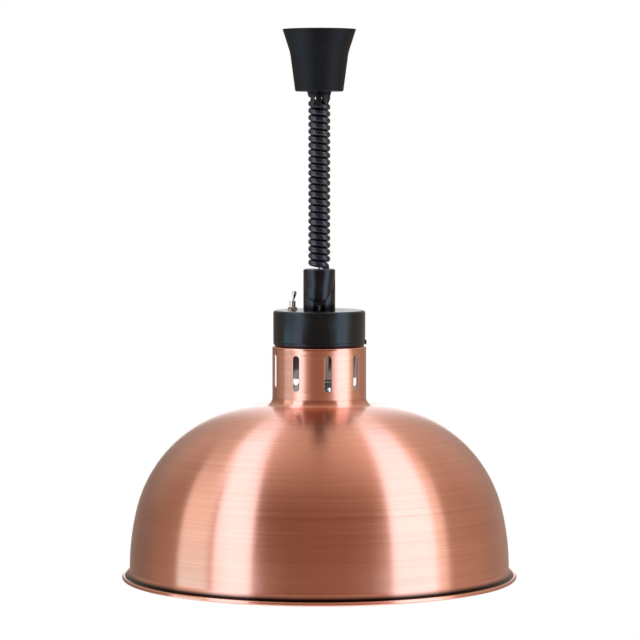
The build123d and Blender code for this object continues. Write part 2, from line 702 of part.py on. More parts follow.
def bridge_strap():
    """A strap under the cap's top, down both sides and in again on the shade's flange."""
    far = BRIDGE_FAR_X
    half_w = BRIDGE_W / 2
    strap = block(-far, far, -half_w, half_w, BRIDGE_LOW_Z, CAP_IN_TOP_Z)
    for side in (-1, 1):
        near_x, far_x = sorted((side * (far - BRIDGE_T), side * far))
        strap += block(near_x, far_x, -half_w, half_w, NECK_TOP_Z, CAP_IN_TOP_Z)
        near_x, far_x = sorted((side * (far - BRIDGE_FOOT_L), side * far))
        strap += block(near_x, far_x, -half_w, half_w, NECK_TOP_Z, NECK_TOP_Z + BRIDGE_T)
        x = side * BRIDGE_SCREW_X
        strap -= rod(BRIDGE_SCREW_R + SCREW_GAP, NECK_TOP_Z - 1, NECK_TOP_Z + BRIDGE_T + 1, x)
    strap -= rod(NIPPLE_R + SCREW_GAP, BRIDGE_LOW_Z - 1, CAP_IN_TOP_Z + 1)
    strap -= rod(BUSH_R + SCREW_GAP, BRIDGE_LOW_Z - 1, CAP_IN_TOP_Z + 1, SWITCH_X, SWITCH_Y)
    return strap - side_rod(LOCK_SCREW_R + SCREW_GAP / 2, far - 3, far + 3, 0, lock_screw_z())


def bridge_screws():
    """Two screws and nuts that clamp the shade's flange between the bridge and the cup."""
    top = NECK_TOP_Z + BRIDGE_T
    screws = []
    for side in (-1, 1):
        x = side * BRIDGE_SCREW_X
        head = rod(BRIDGE_HEAD_R, top, top + BRIDGE_HEAD_T, x)
        head = fillet(head.edges().group_by(Axis.Z)[-1], BRIDGE_HEAD_T * 0.6)
        screw = head + rod(BRIDGE_SCREW_R, DISC_LOW_Z - BRIDGE_NUT_T - 1, top, x)
        screws.append(screw + hex_prism(BRIDGE_NUT_R, DISC_LOW_Z - BRIDGE_NUT_T, DISC_LOW_Z, x))
    return Compound(children=screws)


def shade_outline(inset):
    """The edges of one face of the shade's wall, from the neck's flange to the lip's end."""
    neck_r = NECK_R - inset
    top_z = NECK_TOP_Z - inset
    corner_c = (NECK_R - NECK_TOP_ROUND, NECK_TOP_Z - NECK_TOP_ROUND)
    dome_c = (DOME_CENTRE_R, -DOME_TOP_BELOW_CEILING - DOME_R)
    fillet_r = NECK_R + NECK_FILLET
    reach = DOME_R + NECK_FILLET
    fillet_c = (fillet_r, dome_c[1] + sqrt(reach**2 - (fillet_r - dome_c[0]) ** 2))
    meet = degrees(asin((fillet_r - dome_c[0]) / reach))
    turn = radians(SHOULDER_ANGLE)
    back = SHOULDER_R - DOME_R
    shoulder_c = (dome_c[0] - back * cos(turn), dome_c[1] - back * sin(turn))
    wall_r = shoulder_c[0] + SHOULDER_R
    lip_turn = degrees(atan2(LIP_OUT, LIP_DOWN))
    lip_c = (wall_r + LIP_ROUND, shoulder_c[1])
    lip_r = LIP_ROUND + inset
    edges = [
        Line((NECK_FLANGE_HOLE_R, top_z), (corner_c[0], top_z)),
        arc(corner_c, NECK_TOP_ROUND - inset, 90, 0),
        Line((neck_r, corner_c[1]), (neck_r, fillet_c[1])),
        arc(fillet_c, NECK_FILLET + inset, 180, 270 - meet),
        arc(dome_c, DOME_R - inset, 90 - meet, SHOULDER_ANGLE),
        arc(shoulder_c, SHOULDER_R - inset, SHOULDER_ANGLE, 0),
        arc(lip_c, lip_r, 180, 180 + lip_turn),
    ]
    start = edges[-1] @ 1
    length = sqrt(LIP_OUT**2 + LIP_DOWN**2)
    aim = radians(lip_turn)
    end = (start.X + length * sin(aim), start.Y - length * cos(aim))
    edges.append(Line((start.X, start.Y), end))
    return edges


def shade():
    """A spun shade: flange, slotted neck, dome, stepped lip and rolled bead."""
    outer = shade_outline(0)
    inner = shade_outline(SHADE_T)
    start = Line(outer[0] @ 0, inner[0] @ 0)
    end = Line(outer[-1] @ 1, inner[-1] @ 1)
    wall = spun(*outer, *inner, start, end)
    bead_at = ((outer[-1] @ 1) + (inner[-1] @ 1)) * 0.5
    bead_face = Plane.XZ * (Pos(bead_at.X, bead_at.Y) * Circle(BEAD_R))
    wall += revolve(bead_face, Axis.Z)
    slot_top = NECK_TOP_Z - SLOT_BELOW_NECK_TOP
    slot = Rot(0, 0, 90) * SlotOverall(SLOT_H, SLOT_W)
    cutter = extrude(Plane.XZ * slot, NECK_R * 1.2)
    for k in range(SLOT_COUNT):
        turn = SLOT_TURN + k * 360 / SLOT_COUNT
        wall -= Rot(0, 0, turn) * at(cutter, 0, -NECK_R * 0.5, slot_top - SLOT_H / 2)
    for side in (-1, 1):
        hole_x = side * BRIDGE_SCREW_X
        wall -= rod(BRIDGE_SCREW_R + SCREW_GAP, DISC_TOP_Z - 1, NECK_TOP_Z + 1, hole_x)
    return wall


def holder_cup():
    """A bright steel cup under the shade's flange, with a hole for the lampholder."""
    cup = rod(HOLDER_CUP_DISC_R, DISC_LOW_Z, DISC_TOP_Z)
    cup += rod(HOLDER_CUP_R, DISC_TOP_Z - HOLDER_CUP_H, DISC_TOP_Z)
    cup -= rod(HOLDER_CUP_R - HOLDER_CUP_T, DISC_TOP_Z - HOLDER_CUP_H - 1, DISC_LOW_Z)
    cup -= rod(HOLDER_R + HOLDER_HOLE_GAP, DISC_LOW_Z - 1, DISC_TOP_Z + 1)
    for side in (-1, 1):
        x, y = side * BRIDGE_SCREW_X, side * HOLDER_SCREW_AT
        cup -= rod(BRIDGE_SCREW_R + SCREW_GAP, DISC_LOW_Z - 1, DISC_TOP_Z + 1, x)
        cup -= rod(HOLDER_SCREW_R + SCREW_GAP, DISC_LOW_Z - 1, DISC_TOP_Z + 1, 0, y)
    return cup


def lampholder():
    """The ceramic body: a flange on the cup's disc, a rounded top and a bore for the shell."""
    top_round = 4.0
    holder = rod(HOLDER_R, HOLDER_LOW_Z, HOLDER_TOP_Z)
    holder = fillet(holder.edges().group_by(Axis.Z)[-1], top_round)
    holder = fillet(holder.edges().group_by(Axis.Z)[0], 1.2)
    holder += rod(HOLDER_FLANGE_R, DISC_TOP_Z, DISC_TOP_Z + HOLDER_FLANGE_T)
    holder -= rod(HOLDER_BORE_R, HOLDER_LOW_Z - 1, BORE_TOP_Z)
    for side in (-1, 1):
        hole_top = DISC_TOP_Z + HOLDER_FLANGE_T + 1
        y = side * HOLDER_SCREW_AT
        holder -= rod(HOLDER_SCREW_R + SCREW_GAP, DISC_TOP_Z - 1, hole_top, 0, y)
        well = rod(HOLDER_SCREW_HEAD_R + 0.4, hole_top - 1, HOLDER_TOP_Z + 1, 0, y)
        holder -= well
    return holder


def lampholder_screws():
    """Two screws and nuts through the lampholder's flange and the cup's disc."""
    top = DISC_TOP_Z + HOLDER_FLANGE_T
    nut_t = 2.2
    screws = []
    for side in (-1, 1):
        y = side * HOLDER_SCREW_AT
        head = rod(HOLDER_SCREW_HEAD_R, top, top + HOLDER_SCREW_HEAD_T, 0, y)
        head = fillet(head.edges().group_by(Axis.Z)[-1], HOLDER_SCREW_HEAD_T * 0.6)
        screw = head + rod(HOLDER_SCREW_R, DISC_LOW_Z - nut_t - 0.8, top, 0, y)
        nut = hex_prism(nut_corner_r(), DISC_LOW_Z - nut_t, DISC_LOW_Z, 0, y)
        screws.append(screw + nut)
    return Compound(children=screws)


def nut_corner_r():
    """The small nuts stay clear of the lampholder's wall."""
    return min(3.0, HOLDER_SCREW_AT - HOLDER_R - 0.15)


def holder_terminals():
    """Two brass terminals on top of the lampholder."""
    sx, sy, sz = TERMINAL_SIZE
    x_at, y_at = TERMINAL_AT
    terminals = []
    for side in (-1, 1):
        x = side * x_at
        low = HOLDER_TOP_Z
        body = block(x - sx / 2, x + sx / 2, y_at - sy / 2, y_at + sy / 2, low, low + sz)
        terminals.append(body)
    return Compound(children=terminals)


def screw_shell():
    """The brass Edison shell inside the ceramic bore."""
    outer = HOLDER_BORE_R - SHELL_GAP
    low = BORE_TOP_Z - SHELL_L - CONTACT_T
    shell = rod(outer, low, BORE_TOP_Z - CONTACT_T)
    return shell - rod(outer - SHELL_T, low - 1, BORE_TOP_Z)


def centre_contact():
    """The brass contact on the floor of the ceramic bore."""
    return rod(CONTACT_R, BORE_TOP_Z - CONTACT_T, BORE_TOP_Z)


def switch_body():
    """The switch's case under the bridge and its bushing up through the cap."""
    sx, sy, sz = SWITCH_BODY
    low = BRIDGE_LOW_Z - sz
    x, y = SWITCH_X, SWITCH_Y
    body = block(x - sx / 2, x + sx / 2, y - sy / 2, y + sy / 2, low, BRIDGE_LOW_Z)
    bush_top = CAP_TOP_Z + BUSH_ABOVE_CAP
    bush = rod(BUSH_R, BRIDGE_LOW_Z, bush_top, x, y)
    bush = chamfer(bush.edges().group_by(Axis.Z)[-1], 0.4)
    floor = lever_pivot_z() - LEVER_BALL_R - 0.1
    return body + bush - rod(BUSH_BORE_R, floor, bush_top + 1, x, y)


def lever_pivot_z():
    """The lever turns about this level inside the bushing."""
    return CAP_TOP_Z + BUSH_ABOVE_CAP - LEVER_PIVOT_DROP


def switch_washer():
    """The washer between the switch's nut and the cap."""
    washer = rod(SWITCH_WASHER_R, CAP_TOP_Z, CAP_TOP_Z + SWITCH_WASHER_T, SWITCH_X, SWITCH_Y)
    return washer - rod(BUSH_R + SCREW_GAP, CAP_TOP_Z - 1, CAP_TOP_Z + 3, SWITCH_X, SWITCH_Y)


def switch_nut():
    """The hexagonal nut that clamps the switch to the cap."""
    low = CAP_TOP_Z + SWITCH_WASHER_T
    nut = hex_prism(SWITCH_NUT_R, low, low + SWITCH_NUT_T, SWITCH_X, SWITCH_Y, 0)
    return nut - rod(BUSH_R + SCREW_GAP / 2, low - 1, low + SWITCH_NUT_T + 1, SWITCH_X, SWITCH_Y)


def switch_tags():
    """Two solder tags under the switch's case."""
    sx, sy, sz = TAG_SIZE
    top = BRIDGE_LOW_Z - SWITCH_BODY[2]
    tags = []
    for side in (-1, 1):
        x = SWITCH_X + side * TAG_SPACING / 2
        y = SWITCH_Y
        tags.append(block(x - sx / 2, x + sx / 2, y - sy / 2, y + sy / 2, top - sz, top))
    return Compound(children=tags)


def tag_mid_z():
    """The middle level of the switch's tags, where the leads meet them."""
    return BRIDGE_LOW_Z - SWITCH_BODY[2] - TAG_SIZE[2] / 2


def flex_end_z():
    """The level where the flex's sheath ends and its cores come out."""
    return NIPPLE_LOW_Z - 1.5


def terminal_lead_z():
    """The level of a lead that lies on a lampholder terminal."""
    return HOLDER_TOP_Z + TERMINAL_SIZE[2] + LEAD_R + LEAD_GAP


def live_lead():
    """From the flex to the inner switch tag."""
    tag_x = SWITCH_X + TAG_SPACING / 2 + TAG_SIZE[0] / 2 + LEAD_GAP
    z = tag_mid_z()
    points = (
        (-1.6, 0, flex_end_z()),
        (-1.6, 0, flex_end_z() - LEAD_DROP),
        (-11, 3.4, z - 0.3),
        (tag_x, SWITCH_Y, z),
    )
    return round_lead(points, LEAD_R)


def switched_lead():
    """From the outer switch tag to the lampholder's left terminal."""
    tag_x = SWITCH_X - TAG_SPACING / 2
    y_tag = SWITCH_Y - TAG_SIZE[1] / 2
    z = tag_mid_z()
    end_x = -TERMINAL_AT[0]
    points = (
        (tag_x, y_tag, z),
        (tag_x + 0.3, -3, z),
        (-22, TERMINAL_AT[1] - 0.5, (z + terminal_lead_z()) / 2),
        (end_x, TERMINAL_AT[1], terminal_lead_z()),
    )
    return round_lead(points, LEAD_R)


def neutral_lead():
    """From the flex to the lampholder's right terminal."""
    z = terminal_lead_z()
    points = (
        (1.6, -0.4, flex_end_z()),
        (1.6, -0.4, flex_end_z() - LEAD_DROP),
        (TERMINAL_AT[0], TERMINAL_AT[1], z),
    )
    return round_lead(points, LEAD_R)


def earth_lead():
    """From the flex to the bridge's foot beside the clamp screw."""
    z = tag_mid_z()
    foot = NECK_TOP_Z + BRIDGE_T
    points = (
        (0.2, 1.6, flex_end_z()),
        (0.2, 1.6, flex_end_z() - LEAD_DROP),
        (17, 9.2, z + 0.2),
        (31, 8.8, z - 4),
        (BRIDGE_SCREW_X, 7.4, foot + 4),
        (BRIDGE_SCREW_X, 7.4, foot),
    )
    return round_lead(points, LEAD_R)


# ---------------------------------------------------------------- lever body

def switch_lever():
    """A bat lever with a ball at its pivot, tilted to one of its two positions."""
    length = LEVER_PIVOT_DROP + LEVER_ABOVE_BUSH
    neck = LEVER_PIVOT_DROP + 1.2
    tip_c = (0, length - LEVER_TIP_R)
    lever = spun_polygon(
        (0, 0),
        (LEVER_ROOT_R, 0),
        (LEVER_ROOT_R, neck),
        (LEVER_TIP_R, tip_c[1] - 1.5),
        (LEVER_TIP_R, tip_c[1]),
        (0, tip_c[1]),
    )
    lever += at(Sphere(LEVER_TIP_R), 0, 0, tip_c[1])
    lever += Sphere(LEVER_BALL_R)
    return at(Rot(0, LEVER_TILT, 0) * lever, SWITCH_X, SWITCH_Y, lever_pivot_z())


# ---------------------------------------------------------------- bulb body

def base_top_z():
    """The upper end of the bulb's screw base."""
    return BULB_TIP_Z - BULB_CONTACT_T - BULB_INSULATOR_H + 1.0


def bulb_base():
    """The rolled screw base: rounded ridges on a thin tube."""
    top = base_top_z()
    valley = BULB_BASE_R - BULB_THREAD_DEPTH
    pitch = BULB_THREAD_PITCH
    edges = [Line((valley - 0.6, top), (valley, top))]
    z = top - 1.2
    edges.append(Line((valley, top), (valley, z)))
    for _ in range(BULB_THREADS):
        edges.append(ThreePointArc((valley, z), (BULB_BASE_R, z - pitch / 2), (valley, z - pitch)))
        z -= pitch
    low = top - BULB_BASE_L
    edges.append(Line((valley, z), (valley, low)))
    edges.append(Line((valley, low), (valley - 0.6, low)))
    edges.append(Line((valley - 0.6, low), (valley - 0.6, top)))
    return spun(*edges)


def bulb_insulator():
    """The black glass cone between the screw base and the contact."""
    top = BULB_TIP_Z - BULB_CONTACT_T
    inner = BULB_BASE_R - BULB_THREAD_DEPTH - 0.6
    low = base_top_z() - 1.5
    return spun_polygon((0, top), (BULB_CONTACT_R, top), (inner, base_top_z()), (inner, low), (0, low))


def bulb_contact():
    """The solder contact at the bulb's tip."""
    low = BULB_TIP_Z - BULB_CONTACT_T
    tip = rod(BULB_CONTACT_R, low, BULB_TIP_Z)
    return fillet(tip.edges().group_by(Axis.Z)[-1], BULB_CONTACT_T * 0.7)


def glass_outline(inset):
    """The edges of one face of the bulb's glass, from inside the base to the face's middle."""
    face_z = BULB_TIP_Z - BULB_L
    mouth_r = BULB_BASE_R - BULB_THREAD_DEPTH - 0.7
    mouth_z = base_top_z() - 2.0
    step_z = base_top_z() - BULB_BASE_L - 0.8
    neck_z = BULB_TIP_Z - BULB_NECK_END
    turn = radians(BULB_FLARE_ANGLE)
    flare_c = (BULB_NECK_R + BULB_FLARE_R, neck_z)
    flare_end = (flare_c[0] - BULB_FLARE_R * cos(turn), flare_c[1] - BULB_FLARE_R * sin(turn))
    bulge_r = BULB_R - BULB_BULGE_R + BULB_BULGE_R * cos(turn)
    slant = (bulge_r - flare_end[0]) / sin(turn)
    bulge_z = flare_end[1] - slant * cos(turn)
    bulge_c = (BULB_R - BULB_BULGE_R, bulge_z - BULB_BULGE_R * sin(turn))
    face_c = (0, face_z + BULB_FACE_R)
    edge_c_r = BULB_R - BULB_EDGE_R
    edge_c = (edge_c_r, face_c[1] - sqrt((BULB_FACE_R - BULB_EDGE_R) ** 2 - edge_c_r**2))
    edge_turn = degrees(acos(edge_c_r / (BULB_FACE_R - BULB_EDGE_R)))
    flare_r = BULB_FLARE_R + inset
    bulge = BULB_BULGE_R - inset
    neck_r = BULB_NECK_R - inset
    step_drop = (BULB_NECK_R - mouth_r) / BULB_STEP_SLOPE
    a, b = arc(flare_c, flare_r, 180, 180 + BULB_FLARE_ANGLE), arc(bulge_c, bulge, BULB_FLARE_ANGLE, 0)
    return [
        Line((mouth_r - inset, mouth_z), (mouth_r - inset, step_z)),
        Line((mouth_r - inset, step_z), (neck_r, step_z - step_drop)),
        Line((neck_r, step_z - step_drop), (neck_r, neck_z)),
        a,
        Line(a @ 1, b @ 0),
        b,
        Line(b @ 1, (BULB_R - inset, edge_c[1])),
        arc(edge_c, BULB_EDGE_R - inset, 0, -edge_turn),
        arc(face_c, BULB_FACE_R - inset, -edge_turn, -90),
    ]


def bulb_glass():
    """The reflector bulb's glass, a closed hollow envelope joined into the screw base."""
    outer = glass_outline(0)
    inner = glass_outline(BULB_GLASS_T)
    start = Line(outer[0] @ 0, inner[0] @ 0)
    end = Line(outer[-1] @ 1, inner[-1] @ 1)
    return spun(*outer, *inner, start, end)


def stem_end_z():
    """The lower end of the bulb's stem."""
    return BULB_TIP_Z - STEM_END


def bulb_stem():
    """The glass stem, joined to the neck near the base."""
    mouth_r = BULB_BASE_R - BULB_THREAD_DEPTH - 0.7 - BULB_GLASS_T
    top = base_top_z() - 2.0
    return spun_polygon(
        (0, top),
        (mouth_r, top),
        (mouth_r, top - 1.5),
        (STEM_R, top - 8),
        (STEM_R, stem_end_z()),
        (0, stem_end_z()),
    )


def filament_z():
    """The level of the filament ring."""
    return BULB_TIP_Z - FILAMENT_BELOW_TIP


def bulb_filament():
    """The heating filament, an open ring seen through the bulb's face."""
    path = CenterArc((0, 0, 0), FILAMENT_RING_R, FILAMENT_OPENING / 2, 360 - FILAMENT_OPENING)
    section = Plane(origin=path @ 0, z_dir=path % 0) * Circle(FILAMENT_R)
    return at(sweep(section, path=path), 0, 0, filament_z())


def bulb_supports():
    """Straight wires from the stem's end to the filament, one at each end and three between."""
    wires = []
    first = FILAMENT_OPENING / 2
    span = 360 - FILAMENT_OPENING
    shares = (0.01, 0.25, 0.5, 0.75, 0.99)
    stem_r = STEM_R - SUPPORT_R - 0.2
    for share in shares:
        angle = radians(first + span * share)
        start = Vector(stem_r * cos(angle), stem_r * sin(angle), stem_end_z())
        ring = FILAMENT_RING_R
        end = Vector(ring * cos(angle), ring * sin(angle), filament_z() + FILAMENT_R)
        aim = end - start
        wire = extrude(Plane(origin=start, z_dir=aim) * Circle(SUPPORT_R), aim.length)
        wires.append(wire - rod(STEM_R, stem_end_z(), stem_end_z() + 3))
    cut = bulb_filament()
    return Compound(children=[w - cut for w in wires])


BUILDERS = (
    ceiling_bracket, canopy_cup, canopy_screws, frame_rivets, reel_frame, reel_axle,
    balance_spring, terminal_block, supply_lead, cord_outlet, suspension_cord, curly_cord,
    reel_drum, cord_winding,
    grip_sleeve, grip_cover, grip_core, cord_ferrule, grip_flex, nipple,
    head_cap, cap_lock_screw, bridge_strap, bridge_screws, shade, holder_cup,
    lampholder, lampholder_screws, holder_terminals, screw_shell, centre_contact,
    switch_body, switch_washer, switch_nut, switch_tags,
    live_lead, switched_lead, neutral_lead, earth_lead,
    switch_lever,
    bulb_glass, bulb_base, bulb_insulator, bulb_contact, bulb_stem, bulb_filament,
    bulb_supports,
)


def main():
    os.makedirs("parts", exist_ok=True)
    parts = {builder.__name__: builder() for builder in BUILDERS}
    parts["upper_lock_nut"] = lock_nut(CAP_TOP_Z)
    parts["lower_lock_nut"] = lock_nut(BRIDGE_LOW_Z - NUT_T)
    for name, shape in parts.items():
        solids = shape.solids()
        kept = solids[0] if len(solids) == 1 else Compound(children=list(solids))
        kept.label = name
        export_step(kept, f"parts/{name}.step")
        print(f"{name:20s} {len(solids)} solid(s) {sum(s.volume for s in solids):10.1f} mm3")


main()
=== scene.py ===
# %% [markdown]
# # A pull-down heat lamp for keeping food warm
#
# The lamp hangs from a ceiling cup on a thin steel cord with a curly flex round it. Below the
# flex come a black sleeve, a black cap with a toggle switch, and a wide shade of brushed copper
# with an infrared bulb in it. The mechanical parts come from the CAD model, which is loaded as
# the frame. This script gives each one its finish, and makes again, in finer form, the pieces
# that need it: the shade, the flex, the cord and every part whose edges should be soft.

# %% Load the frame
import json
import math

import bmesh
import bpy
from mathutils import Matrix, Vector
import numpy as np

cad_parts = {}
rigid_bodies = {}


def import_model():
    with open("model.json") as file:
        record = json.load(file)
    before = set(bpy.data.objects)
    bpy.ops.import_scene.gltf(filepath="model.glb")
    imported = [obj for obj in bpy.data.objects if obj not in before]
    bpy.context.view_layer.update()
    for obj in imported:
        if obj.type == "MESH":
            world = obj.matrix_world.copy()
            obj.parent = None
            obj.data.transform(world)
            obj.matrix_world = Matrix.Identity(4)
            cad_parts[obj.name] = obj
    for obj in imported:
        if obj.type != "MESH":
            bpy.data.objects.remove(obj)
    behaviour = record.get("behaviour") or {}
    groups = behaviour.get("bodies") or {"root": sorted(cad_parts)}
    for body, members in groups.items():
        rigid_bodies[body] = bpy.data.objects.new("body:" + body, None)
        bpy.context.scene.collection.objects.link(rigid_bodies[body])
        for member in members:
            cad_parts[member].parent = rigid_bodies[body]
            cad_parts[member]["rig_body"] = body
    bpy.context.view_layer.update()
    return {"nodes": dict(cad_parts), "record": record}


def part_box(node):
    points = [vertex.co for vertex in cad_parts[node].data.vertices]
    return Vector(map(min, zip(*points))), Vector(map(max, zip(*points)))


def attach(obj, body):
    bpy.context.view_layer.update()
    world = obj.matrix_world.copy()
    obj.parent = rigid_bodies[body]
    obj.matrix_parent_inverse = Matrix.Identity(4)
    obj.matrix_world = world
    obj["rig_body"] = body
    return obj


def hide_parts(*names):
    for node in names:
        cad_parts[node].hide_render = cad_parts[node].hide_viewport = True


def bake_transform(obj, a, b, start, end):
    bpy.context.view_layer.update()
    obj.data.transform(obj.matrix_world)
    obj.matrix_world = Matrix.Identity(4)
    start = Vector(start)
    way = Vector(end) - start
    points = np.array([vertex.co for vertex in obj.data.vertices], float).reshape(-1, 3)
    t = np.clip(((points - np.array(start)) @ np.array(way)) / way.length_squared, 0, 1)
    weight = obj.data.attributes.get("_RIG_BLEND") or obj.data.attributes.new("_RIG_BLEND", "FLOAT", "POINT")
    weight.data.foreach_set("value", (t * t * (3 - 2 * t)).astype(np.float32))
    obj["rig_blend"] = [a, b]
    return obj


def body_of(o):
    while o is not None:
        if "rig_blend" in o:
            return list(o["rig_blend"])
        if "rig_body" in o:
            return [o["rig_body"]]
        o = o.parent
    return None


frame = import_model()
NODES = frame["nodes"]
SLOT_OF = {p["node"]: p["material_slot"] for p in frame["record"]["subparts"]}
MM = 0.001

# %% [markdown]
# ## The camera
#
# A long lens from nearly three metres away keeps the cup's sides parallel and shows the shade's
# rim as an almost straight line. The camera stands a little above the middle of the flex and
# looks down by about three degrees, so that a narrow part of the dome's top can be seen.

# %% Camera
DISTANCE = 2.870
CAMERA_Z = -0.119
TILT = 3.24

camera_data = bpy.data.cameras.new("camera")
camera_data.lens = 166.4
camera_data.sensor_width = 36.0
camera = bpy.data.objects.new("camera", camera_data)
camera.location = (0.0007, -DISTANCE, CAMERA_Z)
camera.rotation_euler = (math.radians(90 - TILT), 0, 0)
bpy.context.collection.objects.link(camera)
bpy.context.scene.camera = camera
print("camera at", [round(v, 3) for v in camera.location], "lens", camera_data.lens)

# %% [markdown]
# ## Shader maths as Python
#
# A finish is a small web of nodes. Wiring one by hand hides the idea, so one class wraps a
# node's output and lets it be added, multiplied and so on as a number is. Each operation adds a
# Math node. A second class holds the material and makes any other node with one method: its
# type, its settings, and what goes into its sockets.


# %% The helper classes
class Signal:
    """One output of a node. Arithmetic on it adds Math nodes."""

    def __init__(self, web, socket):
        self.web, self.socket = web, socket

    def maths(self, operation, *values):
        return self.web.node("ShaderNodeMath", {"operation": operation}, dict(enumerate(values)))[0]

    def __add__(self, other):
        return self.maths("ADD", self, other)

    def __sub__(self, other):
        return self.maths("SUBTRACT", self, other)

    def __rsub__(self, other):
        return self.maths("SUBTRACT", other, self)

    def __mul__(self, other):
        return self.maths("MULTIPLY", self, other)

    def __truediv__(self, other):
        return self.maths("DIVIDE", self, other)

    def __pow__(self, other):
        return self.maths("POWER", self, other)

    __radd__ = __add__
    __rmul__ = __mul__


class Web:
    """A tree of nodes, and the ways of adding to it that finishes and the room share."""

    def __init__(self, owner):
        owner.use_nodes = True
        self.tree = owner.node_tree
        self.tree.nodes.clear()

    def plug(self, socket, value):
        if isinstance(value, Signal):
            self.tree.links.new(value.socket, socket)
        elif isinstance(value, (tuple, list)) and len(value) == 3 and socket.type == "RGBA":
            socket.default_value = (*value, 1)
        else:
            socket.default_value = value

    def node(self, kind, settings=None, values=None):
        made = self.tree.nodes.new(kind)
        for key, value in (settings or {}).items():
            if key == "stops":
                stops = made.color_ramp.elements
                while len(stops) < len(value):
                    stops.new(1.0)
                for stop, (at, colour) in zip(stops, value):
                    stop.position, stop.color = at, (*colour, 1)
            else:
                setattr(made, key, value)
        for key, value in (values or {}).items():
            self.plug(made.inputs[key], value)
        return [Signal(self, s) for s in made.outputs]

    def ramp(self, signal, low, high, a=0.0, b=1.0):
        values = {0: signal, 1: low, 2: high, 3: a, 4: b}
        return self.node("ShaderNodeMapRange", {"clamp": True}, values)[0]

    def tint(self, share, a, b):
        return self.node("ShaderNodeMix", {"data_type": "RGBA"}, {0: share, 6: a, 7: b})[2]

    def vector(self, operation, a, b):
        return self.node("ShaderNodeVectorMath", {"operation": operation}, {0: a, 1: b})[0]


class Finish(Web):
    """A material on one Principled shader, built up by its methods."""

    def __init__(self, name, **sockets):
        self.material = bpy.data.materials.new(name)
        super().__init__(self.material)
        self.shader = self.tree.nodes.new("ShaderNodeBsdfPrincipled")
        out = self.tree.nodes.new("ShaderNodeOutputMaterial")
        self.tree.links.new(self.shader.outputs["BSDF"], out.inputs["Surface"])
        self.set(**sockets)

    def set(self, **sockets):
        """Plugs the shader's sockets: base_color stands for Base Color, and so on."""
        names = {s.name.lower().replace(" ", "_"): s for s in self.shader.inputs}
        for key, value in sockets.items():
            self.plug(names[key], value)
        return self

    def where(self, stretch=(1, 1, 1)):
        """Places on the object in metres, each axis multiplied by its stretch."""
        return self.vector("MULTIPLY", self.node("ShaderNodeTexCoord")[3], stretch)

    def noise(self, scale, detail=3.0, stretch=(1, 1, 1), place=None):
        values = {"Vector": place or self.where(stretch), "Scale": scale, "Detail": detail}
        return self.node("ShaderNodeTexNoise", {}, values)[0]

    def bump(self, height, distance, strength=1.0):
        values = {"Strength": strength, "Distance": distance, "Height": height}
        return self.set(normal=self.node("ShaderNodeBump", {}, values)[0])


print("helpers ready")

# %% [markdown]
# ## Brushed copper
#
# The shade is spun on a lathe and brushed while it turns, so its scratches run round it. Light
# then spreads across them, up and down the dome, and each soft box draws one streak from the
# neck to the rim. The shader's anisotropy does that without modelling a scratch. A
# clear lacquer on top adds the pale core of each streak and the grey edge of the outline. The
# colour and the roughness vary a little in fine rings and in slow clouds, as on worn plate. The
# neck is smoother than the dome, so it has the same recipe with hardly any grain. A picture of
# scratches could be wrapped round the dome instead, but it would blur when seen from close by.

# %% Copper outside
def rings(finish, per_metre):
    """Noise that hardly changes round the lathe's axis and changes fast along the profile."""
    x, y, z = finish.node("ShaderNodeSeparateXYZ", {}, {0: finish.where()})
    radius = (x * x + y * y) ** 0.5
    along = (radius - z) * per_metre
    place = finish.node("ShaderNodeCombineXYZ", {}, {0: x * 4.0, 1: y * 4.0, 2: along})[0]
    return finish.noise(1.0, 2.0, place=place)


def brushed(name, grain=1.0, low=0.22, high=0.28):
    """Copper with brush lines as strong as grain, from 0 to 1, and its colour's signal."""
    made = Finish(name, metallic=1.0, anisotropic=grain, anisotropic_rotation=0.25)
    made.set(coat_weight=0.3, coat_roughness=0.12, coat_ior=1.5)
    fine, wide = rings(made, 2600.0), rings(made, 240.0)
    share = made.ramp(fine * 0.45 + wide * 0.35 + made.noise(9.0, 4.0) * 0.2, 0.36, 0.64)
    colour = made.tint(share, (0.75, 0.345, 0.25), (0.88, 0.43, 0.32))
    made.set(base_color=colour)
    made.set(roughness=made.ramp(fine * 0.5 + wide * 0.5, 0.3, 0.7, low, high))
    made.bump(fine, 0.000003, 0.25 * grain)
    return made, colour


copper = brushed("brushed_copper")[0]
neck_copper = brushed("neck_copper", 0.15, 0.17, 0.21)[0]
print("copper nodes", len(copper.tree.nodes))

# %% [markdown]
# ## The inside of the shade
#
# The plate is only on the outside. The inside is the bare spun metal, which throws the bulb's
# heat down. It is pale, with the lathe's rings showing more plainly than outside.

# %% Spun metal inside
inside = Finish("spun_inside", metallic=1.0, anisotropic=0.6, anisotropic_rotation=0.25)
fine_in = rings(inside, 1500.0)
wide_in = rings(inside, 160.0)
inside.set(base_color=inside.tint(wide_in, (0.70, 0.69, 0.67), (0.86, 0.85, 0.83)))
inside.set(roughness=inside.ramp(fine_in, 0.3, 0.7, 0.26, 0.40))
inside.bump(fine_in * 0.6 + wide_in * 0.4, 0.00002, 0.4)
print("inside nodes", len(inside.tree.nodes))

# %% [markdown]
# ## Blacks
#
# Several blacks meet on this lamp: the dull ceiling cup, the glossier moulded sleeve, the
# lacquered metal cap, the flex's sheath, the soft outlet in the cup's foot, and the black glass
# in the bulb's base. They differ in how tight their highlights are and in their grain, so each
# has its own finish. One black for all would make them look like one moulding. A faint blue in
# the sheen keeps the highlights on them cool.


# %% Black finishes
COOL_SHEEN = (0.87, 0.92, 1.0)


